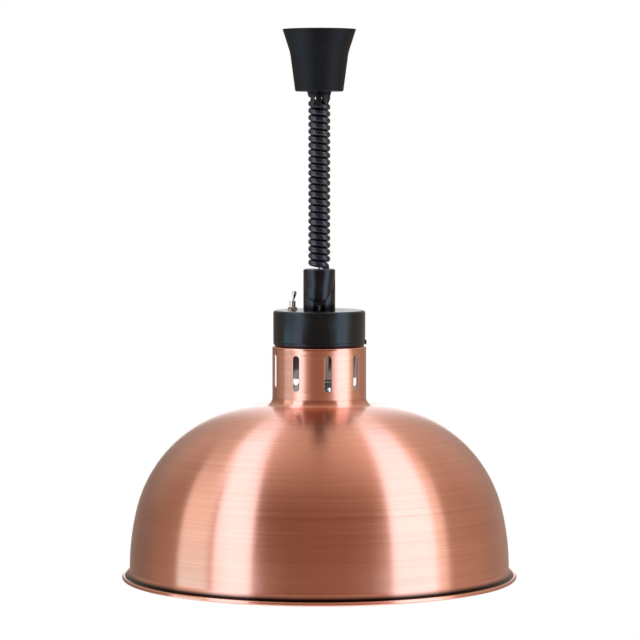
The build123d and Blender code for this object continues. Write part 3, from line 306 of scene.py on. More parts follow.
def satin(name, low, high, rough, grain, depth, coat=0.0, specular=0.5):
    """A moulded or painted finish with slow clouds of tone and a fine grain."""
    made = Finish(name, coat_weight=coat, coat_roughness=0.22, specular_ior_level=specular)
    made.set(specular_tint=(1.0, 1.0, 1.0) if specular == 0.5 else COOL_SHEEN)
    cloud = made.noise(38.0, 4.0)
    speck = made.noise(grain, 2.0)
    made.set(base_color=made.tint(made.ramp(cloud * 0.6 + speck * 0.4, 0.35, 0.65), low, high))
    made.set(roughness=made.ramp(cloud * 0.5 + speck * 0.5, 0.3, 0.7, rough - 0.05, rough + 0.07))
    return made.bump(speck, depth, 0.5)


INK, SOOT = (0.0015, 0.002, 0.003), (0.004, 0.005, 0.007)
CUP_LOW, CUP_HIGH = (0.0035, 0.0035, 0.004), (0.007, 0.007, 0.0075)
RUBBER_LOW, RUBBER_HIGH = (0.002, 0.002, 0.003), (0.005, 0.005, 0.006)
cup_plastic = satin("cup_moulding", CUP_LOW, CUP_HIGH, 0.50, 2400.0, 1e-5, 0, 0.2)
black_plastic = satin("black_moulding", INK, SOOT, 0.24, 2400.0, 5e-6, 0, 0.47)
black_metal = satin("black_lacquer", INK, SOOT, 0.24, 3000.0, 4e-6, 0, 0.46)
black_cable = satin("black_sheath", INK, (0.004, 0.005, 0.008), 0.25, 1600.0, 8e-6, 0, 0.75)
black_rubber = satin("black_rubber", RUBBER_LOW, RUBBER_HIGH, 0.38, 1900.0, 1e-5, 0, 0.4)
black_glass = satin("black_base_glass", (0.012, 0.008, 0.014), (0.030, 0.022, 0.032), 0.14, 700.0, 1e-5)
print("blacks ready")

# %% [markdown]
# ## Metals, ceramic and plastics
#
# Plated steel, zinc, brass and solder share one recipe with different numbers: a metal whose
# colour drifts slowly and whose roughness carries small smears. The glazed ceramic gets a clear
# coat over a faintly uneven body. Moulded plastics and wire covers use the recipe of the blacks.


# %% Metal finishes
def metal(name, low, high, rough, grain, depth):
    """A metal with slow drifts of tone and fine scratches."""
    made = Finish(name, metallic=1.0)
    drift = made.noise(60.0, 4.0)
    scratch = made.noise(grain, 3.0, (1, 1, 0.12))
    made.set(base_color=made.tint(made.ramp(drift, 0.3, 0.7), low, high))
    made.set(roughness=made.ramp(drift * 0.5 + scratch * 0.5, 0.3, 0.7, rough - 0.05, rough + 0.08))
    return made.bump(scratch, depth, 0.4)


bright_steel = metal("bright_plate", (0.66, 0.67, 0.69), (0.80, 0.81, 0.82), 0.15, 1500.0, 5e-6)
zinc_steel = metal("zinc_plate", (0.46, 0.48, 0.51), (0.62, 0.64, 0.67), 0.36, 900.0, 2e-5)
dark_steel = metal("blackened_steel", (0.035, 0.036, 0.040), (0.075, 0.076, 0.082), 0.34, 1200.0, 1e-5)
spring_steel = metal("tempered_steel", (0.30, 0.33, 0.38), (0.48, 0.50, 0.55), 0.24, 1400.0, 5e-6)
steel_cord = metal("cord_steel", (0.20, 0.21, 0.23), (0.40, 0.41, 0.43), 0.34, 2600.0, 1e-5)
brass = metal("brass", (0.66, 0.46, 0.19), (0.82, 0.62, 0.30), 0.24, 1300.0, 6e-6)
solder = metal("solder", (0.50, 0.51, 0.52), (0.70, 0.70, 0.70), 0.42, 800.0, 4e-5)
tungsten = metal("tungsten", (0.20, 0.20, 0.21), (0.34, 0.34, 0.36), 0.45, 2000.0, 2e-5)
print("metals ready")

# %% Ceramic and plastics
ceramic = satin("glazed_ceramic", (0.74, 0.72, 0.66), (0.84, 0.82, 0.77), 0.40, 500.0, 2e-5, 0.9)
grey_plastic = satin("grey_moulding", (0.24, 0.25, 0.27), (0.36, 0.37, 0.39), 0.42, 2000.0, 2e-5)
white_plastic = satin("white_moulding", (0.70, 0.69, 0.65), (0.82, 0.81, 0.77), 0.40, 2000.0, 2e-5)
switch_case = satin("switch_case", (0.06, 0.10, 0.24), (0.10, 0.16, 0.34), 0.42, 2200.0, 2e-5)
brown_wire = satin("brown_wire", (0.16, 0.06, 0.025), (0.26, 0.11, 0.05), 0.38, 1500.0, 2e-5)
blue_wire = satin("blue_wire", (0.02, 0.08, 0.32), (0.05, 0.14, 0.46), 0.38, 1500.0, 2e-5)
green_wire = Finish("green_yellow_wire", roughness=0.38)
gx, gy = green_wire.node("ShaderNodeSeparateXYZ", {}, {0: green_wire.where()})[:2]
stripe = green_wire.node("ShaderNodeMath", {"operation": "SINE"}, {0: (gx + gy) * 1800.0})[0]
GREEN, YELLOW = (0.06, 0.30, 0.05), (0.72, 0.62, 0.05)
green_wire.set(base_color=green_wire.tint(green_wire.ramp(stripe, -0.1, 0.1), GREEN, YELLOW))
print("ceramic and plastics ready")

# %% [markdown]
# ## The bulb's glass
#
# A reflector bulb is mirrored inside from its neck to its widest ring, and frosted on the face.
# Two finishes on one mesh say that: a bright metal under a clear coat, and a rough glass.

# %% Glass finishes
mirrored_glass = metal("mirrored_glass", (0.72, 0.73, 0.74), (0.86, 0.86, 0.86), 0.10, 600.0, 4e-6)
mirrored_glass.set(coat_weight=1.0, coat_roughness=0.03)
frosted_glass = Finish("frosted_glass", transmission_weight=0.75, ior=1.5)
frost = frosted_glass.noise(1400.0, 2.0)
frosted_glass.set(base_color=frosted_glass.tint(frost, (0.86, 0.85, 0.83), (0.96, 0.95, 0.93)))
frosted_glass.set(roughness=frosted_glass.ramp(frost, 0.3, 0.7, 0.38, 0.5)).bump(frost, 3e-5, 0.4)
clear_glass = Finish("clear_glass", transmission_weight=1.0, ior=1.5)
waves = clear_glass.noise(120.0, 2.0)
clear_glass.set(base_color=clear_glass.tint(waves, (0.93, 0.96, 0.96), (0.98, 0.99, 0.99)))
clear_glass.set(roughness=clear_glass.ramp(waves, 0.3, 0.7, 0.02, 0.06))
print("glass ready")

# %% [markdown]
# ## Handing out the finishes
#
# The record names a material slot for every CAD node. One table turns slots into finishes, so
# no part is forgotten. The few parts that differ from their slot are changed further down.

# %% Which finish each slot of the record gets
FINISHES = {
    "zinc_steel": zinc_steel, "bright_steel": bright_steel, "dark_steel": dark_steel,
    "spring_steel": spring_steel, "steel_cord": steel_cord, "black_plastic": black_plastic,
    "grey_plastic": grey_plastic, "white_plastic": white_plastic, "black_cable": black_cable,
    "black_rubber": black_rubber, "brass": brass, "black_metal": black_metal, "copper": copper,
    "ceramic": ceramic, "switch_case": switch_case, "brown_wire": brown_wire,
    "blue_wire": blue_wire, "green_wire": green_wire, "bulb_glass": mirrored_glass,
    "clear_glass": clear_glass, "black_glass": black_glass, "solder": solder, "tungsten": tungsten,
}
for name, part in NODES.items():
    part.data.materials.clear()
    part.data.materials.append(FINISHES[SLOT_OF[name]].material)
print(len(FINISHES), "finishes on", len(NODES), "nodes")

# %% [markdown]
# ## Lines and tubes
#
# The flex and the cord follow curves. A NURBS curve of order three bends smoothly past its
# points without a kink. Its line is read back as a mesh with no bevel, and a tube is swept along
# that line. Sweeping it in code, and not with the curve's bevel, leaves a plain mesh, which can
# stretch when the lamp is pulled down.


# %% Read a curve's line and sweep a tube along it
def line_through(points, steps=4):
    """Points read from a smooth curve that passes near the given ones and meets the two ends."""
    curve = bpy.data.curves.new("line", "CURVE")
    curve.dimensions = "3D"
    curve.resolution_u = steps
    spline = curve.splines.new("NURBS")
    spline.points.add(len(points) - 1)
    for target, point in zip(spline.points, points):
        target.co = (*point, 1)
    spline.order_u = 3
    spline.use_endpoint_u = True
    holder = bpy.data.objects.new("line", curve)
    mesh = bpy.data.meshes.new_from_object(holder)
    line = [v.co.copy() for v in mesh.vertices]
    bpy.data.meshes.remove(mesh)
    bpy.data.objects.remove(holder)
    bpy.data.curves.remove(curve)
    return line


def sweep(name, line, outline):
    """A mesh tube along the line. outline(i) gives its ring's points across the line."""
    across = Vector((1, 0, 0))
    verts, faces, count = [], [], 0
    for i, point in enumerate(line):
        ahead = (line[min(i + 1, len(line) - 1)] - line[max(i - 1, 0)]).normalized()
        across = (across - ahead * across.dot(ahead)).normalized()
        side = ahead.cross(across)
        ring = outline(i)
        count = len(ring)
        verts += [point + across * u + side * v for u, v in ring]
    for i in range(len(line) - 1):
        for j in range(count):
            a, b = i * count + j, i * count + (j + 1) % count
            faces.append((a, b, b + count, a + count))
    faces.append(tuple(reversed(range(count))))
    faces.append(tuple(range(len(verts) - count, len(verts))))
    mesh = bpy.data.meshes.new(name)
    mesh.from_pydata(verts, [], faces)
    mesh.polygons.foreach_set("use_smooth", [len(f) == 4 for f in faces])
    piece = bpy.data.objects.new(name, mesh)
    bpy.context.collection.objects.link(piece)
    return piece


def length_of(line):
    return sum((b - a).length for a, b in zip(line, line[1:]))


print("line tools ready")

# %% [markdown]
# ## The curly flex
#
# The flex comes straight down out of the cup's outlet, winds tightly round the steel cord, and
# goes straight down again into the sleeve. Its points are worked out on a left-handed helix,
# sixteen to a turn, and the curve they steer is the flex's own line. The curve runs a little
# inside its points, so they stand a little outside the coil. When the lamp is pulled down, each
# point of the mesh follows the ceiling or the lamp's head, or something between, by its height,
# so the turns grow taller with the pull.

# %% Curly flex
coil_low, coil_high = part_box("curly_cord")
FLEX_R = 3.2 * MM
FLEX_OFFSET = 6.5 * MM
TURNS = 24
PER_TURN = 16
LEG = 2.9 * MM
STEER_OUT = 1.03
coil_r = coil_high.x - FLEX_R
first, last = coil_high.z - LEG, coil_low.z + LEG
route = [(FLEX_OFFSET, 0, coil_high.z), (FLEX_OFFSET, 0, coil_high.z - LEG * 0.5)]
for step in range(1, TURNS * PER_TURN):
    turn = step / PER_TURN
    near_end = min(1.0, turn * 4, (TURNS - turn) * 4)  # a quarter turn leads in from each leg
    radius = FLEX_OFFSET + (coil_r * STEER_OUT - FLEX_OFFSET) * near_end
    angle = math.radians(90 + 360 * turn)
    z = first + (last - first) * turn / TURNS
    route.append((radius * math.sin(angle), -radius * math.cos(angle), z))
route += [(FLEX_OFFSET, 0, coil_low.z + LEG * 0.5), (FLEX_OFFSET, 0, coil_low.z)]
flex_line = line_through(route)


def round_outline(radius, sides):
    angles = [math.tau * k / sides for k in range(sides)]
    ring = [(radius * math.cos(t), radius * math.sin(t)) for t in angles]
    return lambda i: ring


flex = sweep("curly_flex", flex_line, round_outline(FLEX_R, 20))
flex.data.materials.append(black_cable.material)
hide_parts("curly_cord")
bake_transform(flex, "ceiling", "lamp_head", (0, 0, coil_high.z), (0, 0, coil_low.z))
print("flex", round(length_of(flex_line), 3), "m in", TURNS, "turns,", len(flex_line), "points")

# %% [markdown]
# ## The steel cord
#
# Inside the coil a thin cord of twisted strands carries the weight. It can be seen in the small
# gaps at the coil's two ends. Its cross-section has six lobes that turn as it goes, so the
# strands are in the mesh, which a bump on a smooth rod would not show at its outline.

# %% Suspension cord
cord_low, cord_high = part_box("suspension_cord")
CORD_R = cord_high.x
LAY = 9 * MM
cord_line = line_through([(0, 0, cord_high.z + (cord_low.z - cord_high.z) * k / 24) for k in range(25)], 12)


def six_strands(i):
    """A ring with six round strands, turned by how far down the cord it is."""
    turned = math.tau * (cord_high.z - cord_line[i].z) / LAY
    ring = []
    for k in range(36):
        angle = math.tau * k / 36
        radius = CORD_R * (0.80 + 0.20 * abs(math.cos(3 * angle)) ** 0.6)
        ring.append((radius * math.cos(angle + turned), radius * math.sin(angle + turned)))
    return ring


cord = sweep("stranded_cord", cord_line, six_strands)
cord.data.materials.append(steel_cord.material)
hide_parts("suspension_cord")
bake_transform(cord, "ceiling", "lamp_head", (0, 0, coil_high.z), (0, 0, coil_low.z))
print("cord", round(cord_high.z - cord_low.z, 3), "m,", len(cord.data.vertices), "points")

# %% [markdown]
# ## The shade
#
# The shade is one sheet of metal: a flange under the cap, a straight neck with nine slots that
# let hot air out, a dome, a steeper wall, a small step and a rolled bead. It is made as two
# skins, outside and inside, turned round the same profile. A boolean would cut the slots but
# leave long thin triangles that spoil a brushed surface, so each slot has its own ring of
# quads, which run from a rectangle on the lathe's grid to the slot's rounded edge.

# %% The shade's profile
shade_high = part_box("shade")[1]
SHEET = 1.0
NECK_R, NECK_ROUND, NECK_FILLET = 45.7, 1.9, 8.0
DOME_R, DOME_IN, DOME_DROP = 131.9, 49.8, 189.7
WALL_R, WALL_ANGLE = 242.4, 13.5
LIP_ROUND, LIP_OUT, LIP_DOWN, BEAD_R = 1.6, 5.6, 7.4, 1.9
LIP_SPANS, NECK_SPANS = 4, 3
HOLE_R = 28.0
neck_top = shade_high.z / MM


def arc(centre, radius, start, end, count):
    """Points of an arc in the profile's plane, from one angle to another in degrees."""
    turns = [math.radians(start + (end - start) * k / count) for k in range(count + 1)]
    return [(centre[0] + radius * math.cos(t), centre[1] + radius * math.sin(t)) for t in turns]


def run(a, b, count):
    return [(a[0] + (b[0] - a[0]) * k / count, a[1] + (b[1] - a[1]) * k / count) for k in range(count + 1)]


def profile(inset):
    """The upper run above the slots and the lower run below them, one inset from the outside."""
    corner = (NECK_R - NECK_ROUND, neck_top - NECK_ROUND)
    dome = (DOME_IN, neck_top - DOME_DROP)
    reach, fillet_r = DOME_R + NECK_FILLET, NECK_R + NECK_FILLET
    fillet = (fillet_r, dome[1] + math.sqrt(reach**2 - (fillet_r - dome[0]) ** 2))
    meet = math.degrees(math.asin((fillet_r - dome[0]) / reach))
    turn, back = math.radians(WALL_ANGLE), WALL_R - DOME_R
    wall = (dome[0] - back * math.cos(turn), dome[1] - back * math.sin(turn))
    lip_turn = math.degrees(math.atan2(LIP_OUT, LIP_DOWN))
    lip = (wall[0] + WALL_R + LIP_ROUND, wall[1])
    upper = run((HOLE_R, neck_top - inset), (corner[0], neck_top - inset), 3)
    upper += arc(corner, NECK_ROUND - inset, 90, 0, 8)[1:]
    upper += run((NECK_R - inset, corner[1]), (NECK_R - inset, BAND_TOP), 2)[1:]
    lower = run((NECK_R - inset, BAND_LOW), (NECK_R - inset, fillet[1]), NECK_SPANS)
    lower += arc(fillet, NECK_FILLET + inset, 180, 270 - meet, 10)[1:]
    lower += arc(dome, DOME_R - inset, 90 - meet, WALL_ANGLE, 84)[1:]
    lower += arc(wall, WALL_R - inset, WALL_ANGLE, 0, 20)[1:]
    lower += arc(lip, LIP_ROUND + inset, 180, 180 + lip_turn, 6)[1:]
    down = math.hypot(LIP_OUT, LIP_DOWN)
    aim, start = math.radians(lip_turn), lower[-1]
    end = (start[0] + down * math.sin(aim), start[1] - down * math.cos(aim))
    lower += run(start, end, LIP_SPANS)[1:]
    return upper, lower


SLOT_COUNT, SLOT_W, SLOT_H, SLOT_TURN = 9, 6.9, 34.4, 10.5
SLOT_DOWN, BAND_EDGE = 7.2, 2.6
SLOT_MID = neck_top - SLOT_DOWN - SLOT_H / 2
BAND_TOP, BAND_LOW = SLOT_MID + SLOT_H / 2 + BAND_EDGE, SLOT_MID - SLOT_H / 2 - BAND_EDGE
PER_SLOT, DOWN_SLOT = 32, 26
COLUMNS = SLOT_COUNT * PER_SLOT
outer_up, outer_down = profile(0)
inner_up, inner_down = profile(SHEET)
rim_r = outer_down[-1][0]
print("profile of", len(outer_up), "+", len(outer_down), "points, lip radius", round(rim_r, 1), "mm")

# %% [markdown]
# ## The groove over the bead, with painted shade
#
# The step above the bead is a groove. Its copper is painted darker towards the bead, nearly
# black there: painted shade and painted dark reflection. It is the same recipe, with its colour
# and its lacquer faded by height. The bead keeps the bright finish. Real shadow alone would not
# make it dark, because a metal groove mirrors the bright room.

# %% Painted shade on the copper in the groove
groove_top, groove_low = outer_down[-1 - LIP_SPANS][1] * MM, outer_down[-1][1] * MM
groove, groove_colour = brushed("groove_copper")
height = groove.node("ShaderNodeSeparateXYZ", {}, {0: groove.where()})[2]
depth = groove.ramp(height, groove_top, groove_low)
shade_edge_wobble = groove.noise(60.0, 3.0)
depth = depth + (shade_edge_wobble - 0.5) * 0.05
# Painted shade and painted dark reflection: the copper is multiplied by these greys, nearly black at the
# bead.
PAINTED_SHADE_GREYS = [(0.0, 1.0), (0.14, 0.80), (0.32, 0.42), (0.46, 0.14), (0.54, 0.02), (1.0, 0.01)]
stops = [(at, (grey, grey, grey)) for at, grey in PAINTED_SHADE_GREYS]
painted_shade = groove.node("ShaderNodeValToRGB", {"stops": stops}, {0: depth})[0]
multiply = {"data_type": "RGBA", "blend_type": "MULTIPLY"}
groove.set(base_color=groove.node("ShaderNodeMix", multiply, {0: 1.0, 6: groove_colour, 7: painted_shade})[2])
# The lacquer fades with the painted shade, so the groove mirrors less.
groove.set(coat_weight=groove.ramp(depth, 0.1, 0.5, 0.3, 0.0))
print("groove from", round(groove_top, 4), "to", round(groove_low, 4))


# %% The shade's mesh
def on_lathe(angle, radius, z):
    """A point at an angle from the front towards the right, in metres."""
    return Vector((radius * math.sin(angle), -radius * math.cos(angle), z)) * MM


SHADE_FINISHES = (copper, inside, groove, neck_copper)
DOME, BARE, GROOVE, NECK = range(len(SHADE_FINISHES))


class Skin:
    """Vertices and faces gathered ring by ring, with the number of each face's finish."""

    def __init__(self):
        self.verts, self.faces, self.finish = [], [], []

    def ring(self, points):
        self.verts += points
        return list(range(len(self.verts) - len(points), len(self.verts)))

    def join(self, a, b, finish):
        for k in range(len(a)):
            n = (k + 1) % len(a)
            self.faces.append((a[k], b[k], b[n], a[n]))
            self.finish.append(finish)

    def lathe(self, points, finish, close=False):
        start = math.radians(SLOT_TURN - 180 / SLOT_COUNT)
        angles = [start + math.tau * k / COLUMNS for k in range(COLUMNS)]
        rows = [self.ring([on_lathe(t, r, z) for t in angles]) for r, z in points]
        for a, b in zip(rows, rows[1:] + rows[:1] * close):
            self.join(a, b, finish)
        return rows


skin = Skin()
rows_out_up = skin.lathe(outer_up, NECK)
skin.lathe(outer_down[:NECK_SPANS + 1], NECK)
skin.lathe(outer_down[NECK_SPANS:-LIP_SPANS], DOME)
rows_groove = skin.lathe(outer_down[-1 - LIP_SPANS:], GROOVE)
rows_in_up = skin.lathe(inner_up[::-1], BARE)
rows_in_down = skin.lathe(inner_down[::-1], BARE)
skin.join(rows_in_up[-1], rows_out_up[0], BARE)
skin.join(rows_groove[-1], rows_in_down[0], DOME)

half_sector = math.pi / SLOT_COUNT * NECK_R
half_band = (BAND_TOP - BAND_LOW) / 2
border = [(-half_sector + 2 * half_sector * k / PER_SLOT, half_band) for k in range(PER_SLOT)]
border += [(half_sector, half_band - 2 * half_band * k / DOWN_SLOT) for k in range(DOWN_SLOT)]
border += [(-x, -z) for x, z in border]
straight = SLOT_H / 2 - SLOT_W / 2


def slot_ring(k, out, radius, share=0.0):
    """A ring round slot k: out mm outside its edge, or that share of the way to the border."""
    ring = []
    for x, z in border:
        foot = max(-straight, min(straight, z))
        away = math.hypot(x, z - foot)
        reach = SLOT_W / 2 + out
        reach += (away - reach) * share
        at = (x / away * reach, foot + (z - foot) / away * reach)
        angle = math.radians(SLOT_TURN + 360 * k / SLOT_COUNT) + at[0] / NECK_R
        ring.append(on_lathe(angle, radius, SLOT_MID + at[1]))
    return skin.ring(ring)


EDGE = 0.16
INNER_R = NECK_R - SHEET
for k in range(SLOT_COUNT):
    outside = [(0, NECK_R, 1.0), (0, NECK_R, 0.62), (0, NECK_R, 0.3), (0.6, NECK_R, 0), (EDGE, NECK_R, 0)]
    wall = [(0.05, NECK_R - 0.05, 0), (0, NECK_R - EDGE, 0), (0, INNER_R + EDGE, 0)]
    within = [(EDGE, INNER_R, 0), (0.6, INNER_R, 0), (0, INNER_R, 0.62), (0, INNER_R, 1.0)]
    made = [slot_ring(k, *step) for step in outside + wall + within]
    for n, (a, b) in enumerate(zip(made, made[1:])):
        skin.join(a, b, NECK if n < len(outside + wall) else BARE)
bead_mid = [(a + b) / 2 for a, b in zip(outer_down[-1], inner_down[-1])]
skin.lathe(arc(bead_mid, BEAD_R, 0, 345, 23), DOME, close=True)
print(len(skin.verts), "vertices and", len(skin.faces), "faces gathered")

# %% The shade as one piece
shade_mesh = bpy.data.meshes.new("copper_shade")
shade_mesh.from_pydata(skin.verts, [], skin.faces)
for finish in SHADE_FINISHES:
    shade_mesh.materials.append(finish.material)
shade_mesh.polygons.foreach_set("material_index", skin.finish)
shape = bmesh.new()
shape.from_mesh(shade_mesh)
bmesh.ops.remove_doubles(shape, verts=shape.verts, dist=2e-6)
bmesh.ops.recalc_face_normals(shape, faces=shape.faces)
for face in shape.faces:
    face.smooth = True
shape.to_mesh(shade_mesh)
shape.free()
shade_mesh.set_sharp_from_angle(angle=math.radians(50))
shade = bpy.data.objects.new("copper_shade", shade_mesh)
bpy.context.collection.objects.link(shade)
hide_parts("shade")
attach(shade, "lamp_head")
print("shade", [round(v, 4) for v in shade.dimensions], len(shade_mesh.polygons), "faces")

# %% [markdown]
# ## Soft edges
#
# No real edge is perfectly sharp, and the thin line of light along it is what makes a part look
# solid. Each hard part is copied from its CAD mesh, its flat faces are joined again, and a
# bevel of a fraction of a millimetre goes round its edges. The bevel is a modifier, so its width
# can be changed at any time.


# %% Copy a CAD part and soften its edges
def soften(node, width, finish=None, segments=2, angle=32):
    """A copy of a CAD node with rounded edges, in its place, on its body."""
    source = NODES[node]
    mesh = source.data.copy()
    shape = bmesh.new()
    shape.from_mesh(mesh)
    bmesh.ops.remove_doubles(shape, verts=shape.verts, dist=2e-6)
    limit = math.radians(0.4)
    bmesh.ops.dissolve_limit(shape, angle_limit=limit, verts=shape.verts, edges=shape.edges)
    for face in shape.faces:
        face.smooth = True
    shape.to_mesh(mesh)
    shape.free()
    mesh.materials.clear()
    mesh.materials.append((finish or FINISHES[SLOT_OF[node]]).material)
    piece = bpy.data.objects.new(node + "_soft", mesh)
    bpy.context.collection.objects.link(piece)
    bevel = piece.modifiers.new("soft edges", "BEVEL")
    bevel.width, bevel.segments = width * MM, segments
    bevel.limit_method, bevel.angle_limit = "ANGLE", math.radians(angle)
    bevel.harden_normals = True
    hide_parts(node)
    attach(piece, body_of(source)[0])
    return piece


SOFT_EDGES = {
    "canopy_cup": 0.35, "cord_outlet": 0.2, "grip_sleeve": 0.3, "grip_cover": 0.3, "head_cap": 0.25,
    "cap_lock_screw": 0.12, "switch_nut": 0.15, "switch_washer": 0.1, "switch_body": 0.2,
    "ceiling_bracket": 0.25, "bridge_strap": 0.2, "lampholder": 0.35, "holder_cup": 0.15,
    "upper_lock_nut": 0.15, "lower_lock_nut": 0.15, "bulb_base": 0.1, "reel_drum": 0.2,
    "reel_frame": 0.15, "terminal_block": 0.3,
}
for node, width in SOFT_EDGES.items():
    soften(node, width)
print(len(SOFT_EDGES), "parts with soft edges")

# %% [markdown]
# ## Parts that differ from their slot
#
# The ceiling cup is duller than the other black mouldings, though its slot is theirs. The
# switch's body is a plastic case with a plated bushing, and the bulb's glass is mirrored above
# and frosted on its face. Each of these two is one CAD node, so its faces are sorted by height.

# %% The ceiling cup is a duller black
bpy.data.objects["canopy_cup_soft"].data.materials[0] = cup_plastic.material
print("ceiling cup in", cup_plastic.material.name)

# %% The switch's bushing is metal above its case
switch = bpy.data.objects["switch_body_soft"]
switch.data.materials.append(bright_steel.material)
CASE_BELOW_WASHER = 2.0 * MM
case_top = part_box("switch_washer")[0].z - CASE_BELOW_WASHER
for face in switch.data.polygons:
    face.material_index = 1 if face.center.z > case_top else 0
print("bushing faces", sum(face.material_index for face in switch.data.polygons))

# %% The bulb's glass with its two finishes
glass = soften("bulb_glass", 0.05, mirrored_glass)
glass.modifiers.clear()
glass.data.materials.append(frosted_glass.material)
glass_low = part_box("bulb_glass")[0]
FROSTED_DEPTH = 26 * MM
face_top = glass_low.z + FROSTED_DEPTH
for face in glass.data.polygons:
    face.material_index = 1 if face.center.z < face_top else 0
print("frosted faces", sum(face.material_index for face in glass.data.polygons))

# %% [markdown]
# ## The room
#
# The lamp is lit as in a plain studio: a tall soft box on each side towards the front, a dark
# gap between them, and a thin strip light between dull walls straight behind. A soft box could
# be a rectangle of light, but its reflection in a dome bends and fades. Here the boxes are drawn
# on the world itself. For each direction, the sketch works out which way a surface must face to
# throw that light straight forward, and uses that surface's bearing to look up the brightness.
# So, from the front, each box makes one straight streak from the neck to the rim.
#
# Four ramps hold the light by bearing: for upright surfaces such as the neck and the cap, for
# the wall's foot, for the wall, and for the top of the dome. How far up the surface faces
# chooses between them. A box's red is weaker than its blue, because copper gives the red back.

# %% The room's light
world = bpy.data.worlds.new("room")
bpy.context.scene.world = world
room = Web(world)
STRONGEST = 3.2


def share_of(light):
    """A light as a share of the strongest, since a ramp's colours stop at one."""
    return tuple(c / STRONGEST for c in light)


def band(*stops):
    """A ramp over bearings in degrees, each stop with its light in red, green and blue."""
    return [((at + 90) / 180, share_of(light)) for at, light in stops]


BOX = (1.75, 2.10, 2.52)
WARM = (1.14, 0.96, 0.82)
CREAM = (1.16, 1.90, 2.20)
SALMON = (1.20, 1.22, 1.14)


def wall_band(left, lift):
    """The band for the wall, with the light of its left edge and what the dark parts gain."""
    def dark(red, green, blue):
        return (red + lift, green + lift, blue + lift * 0.8)

    return band(
        (-90, (0.34, 0.31, 0.29)), (-78, dark(0.23, 0.20, 0.165)), (-68, dark(0.27, 0.215, 0.175)),
        (-61, dark(0.32, 0.245, 0.19)), (-54, dark(0.37, 0.275, 0.21)), (-48, dark(0.44, 0.34, 0.27)),
        (-46.5, left), (-36, left), (-34.2, dark(0.62, 0.46, 0.36)), (-32.6, BOX), (-21.2, BOX),
        (-19.8, dark(0.34, 0.23, 0.17)), (-17, dark(0.24, 0.13, 0.087)), (-8, dark(0.23, 0.125, 0.082)),
        (0, dark(0.255, 0.135, 0.092)), (10, dark(0.265, 0.145, 0.097)), (16, dark(0.30, 0.175, 0.12)),
        (19, dark(0.40, 0.27, 0.19)), (21.5, dark(0.60, 0.49, 0.40)), (23, BOX), (37, BOX),
        (38.5, SALMON), (41, SALMON), (43, dark(0.52, 0.41, 0.33)), (58, dark(0.46, 0.35, 0.27)),
        (70, dark(0.39, 0.31, 0.26)), (90, (0.50, 0.45, 0.42)),
    )


NECK_BAND = band(
    (-90, (0.55, 0.50, 0.46)), (-66, (0.46, 0.37, 0.31)), (-48, (0.50, 0.40, 0.33)),
    (-36, (0.66, 0.55, 0.47)), (-30, (0.95, 0.88, 0.80)), (-28, BOX), (-18.5, BOX),
    (-16, (0.95, 0.86, 0.80)), (-12, (0.60, 0.48, 0.40)), (-9, (0.40, 0.28, 0.21)),
    (0, (0.36, 0.25, 0.185)), (9, (0.46, 0.35, 0.28)), (15, (0.80, 0.72, 0.66)), (20, BOX),
    (36, BOX), (40, SALMON), (45, (0.62, 0.50, 0.42)), (64, (0.46, 0.37, 0.31)),
    (90, (0.50, 0.46, 0.42)),
)
LOW_BAND = wall_band(SALMON, 0.0)
FOOT_BAND = wall_band(CREAM, 0.06)
HIGH_BAND = band(
    (-90, (0.78, 0.72, 0.68)), (-60, (0.52, 0.45, 0.40)), (-46, (0.56, 0.49, 0.43)),
    (-40, (0.68, 0.60, 0.53)), (-37, (0.96, 0.88, 0.80)), (-35, BOX), (-24.5, BOX),
    (-19, (1.00, 0.88, 0.78)), (-12, (0.82, 0.70, 0.60)), (0, (0.70, 0.57, 0.47)),
    (12, (0.92, 0.80, 0.70)), (20, WARM), (24, BOX), (35, BOX), (38, WARM), (43, (0.80, 0.70, 0.62)),
    (50, (0.66, 0.57, 0.50)), (65, (0.56, 0.49, 0.44)), (90, (0.78, 0.72, 0.68)),
)
FORWARD = (0, -0.996, 0.09)
toward = room.node("ShaderNodeTexCoord")[0]
ahead = room.vector("ADD", toward, FORWARD)
halfway = room.vector("NORMALIZE", ahead, (0, 0, 0))
hx, hy, hz = room.node("ShaderNodeSeparateXYZ", {}, {0: halfway})
bearing = hx.maths("ARCTAN2", hx, hy * -1.0) / math.pi + 0.5
bands = (NECK_BAND, FOOT_BAND, LOW_BAND, HIGH_BAND)
looked_up = [room.node("ShaderNodeValToRGB", {"stops": stops}, {0: bearing})[0] for stops in bands]
neck, foot, low, high = looked_up
light = room.tint(room.ramp(hz, 0.02, 0.09), foot, low)
light = room.tint(room.ramp(hz, 0.40, 0.74), light, high)
off_level = hz.maths("ABSOLUTE", hz - 0.012)
light = room.tint(room.ramp(off_level, 0.022, 0.036), neck, light)
print("room with", [len(stops) for stops in bands], "stops")

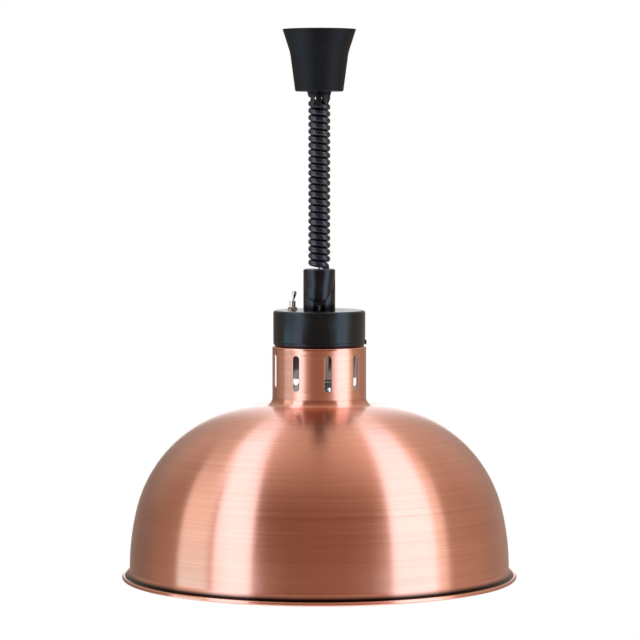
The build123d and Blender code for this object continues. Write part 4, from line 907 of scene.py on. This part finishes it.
# %% The back of the room
LEFT_WALL, RIGHT_WALL = share_of((0.26, 0.22, 0.185)), share_of((0.41, 0.33, 0.275))
CEILING, STRIP = share_of((0.85, 0.75, 0.66)), share_of((1.35, 1.35, 1.38))
lx, ly, lz = room.node("ShaderNodeSeparateXYZ", {}, {0: toward})
walls = room.tint(room.ramp(lx, -0.5, 0.5), LEFT_WALL, RIGHT_WALL)
dull = room.tint(room.ramp(lz, 0.1, 0.8), walls, CEILING)
behind = room.tint(room.ramp(lx.maths("ABSOLUTE", lx), 0.08, 0.20), STRIP, dull)
light = room.tint(room.ramp(ly, 0.40, 0.70), light, behind)
studio = room.node("ShaderNodeBackground", {}, {0: light, 1: STRONGEST})[0]
white = room.node("ShaderNodeBackground", {}, {0: (1, 1, 1), 1: 1.0})[0]
to_eye = room.node("ShaderNodeLightPath")[0]
seen = room.node("ShaderNodeMixShader", {}, {0: to_eye, 1: studio, 2: white})[0]
room.node("ShaderNodeOutputWorld", {}, {0: seen})
print("room nodes", len(room.tree.nodes))

# %% [markdown]
# ## Two soft lights and the floor
#
# Dull surfaces, such as the ceiling cup, need light from above that the drawn room is too dark
# to give. Two area lights do it. They aren't mirrored, so they don't spoil the streaks. The
# floor is far below, since the lamp hangs and is looked at from below too. It glows a little, so
# that it stays plain white, and the standard view transform shows white as white.

# %% Soft light from above and below for the dull surfaces
AIM_Z = -0.35


def soft_box(name, place, size, power):
    """A square area light that aims at the lamp and isn't itself seen or mirrored."""
    data = bpy.data.lights.new(name, "AREA")
    data.size, data.energy = size, power
    lamp = bpy.data.objects.new(name, data)
    lamp.location = place
    aim = Vector((0, 0, AIM_Z)) - lamp.location
    lamp.rotation_euler = aim.to_track_quat("-Z", "Y").to_euler()
    lamp.visible_camera = lamp.visible_glossy = False
    bpy.context.collection.objects.link(lamp)


soft_box("box_above", (-0.8, -1.6, 2.2), 2.0, 45)
soft_box("box_below", (0.9, -1.4, -1.5), 1.2, 6)
print("two soft lights aim at", AIM_Z)

# %% Floor
bpy.context.scene.view_settings.view_transform = "Standard"
FLOOR_Z, FLOOR_HALF = -4.4, 4.0
corners = [(x * FLOOR_HALF, y * FLOOR_HALF, FLOOR_Z) for x, y in ((-1, -1), (1, -1), (1, 1), (-1, 1))]
floor_mesh = bpy.data.meshes.new("floor")
floor_mesh.from_pydata(corners, [], [(0, 1, 2, 3)])
floor = bpy.data.objects.new("floor", floor_mesh)
bpy.context.collection.objects.link(floor)
pale = satin("pale_floor", (0.82, 0.80, 0.77), (0.84, 0.82, 0.79), 0.6, 300.0, 1e-4)
pale.set(emission_color=(1.0, 1.0, 1.0), emission_strength=0.4)
floor_mesh.materials.append(pale.material)
print("floor at", FLOOR_Z)
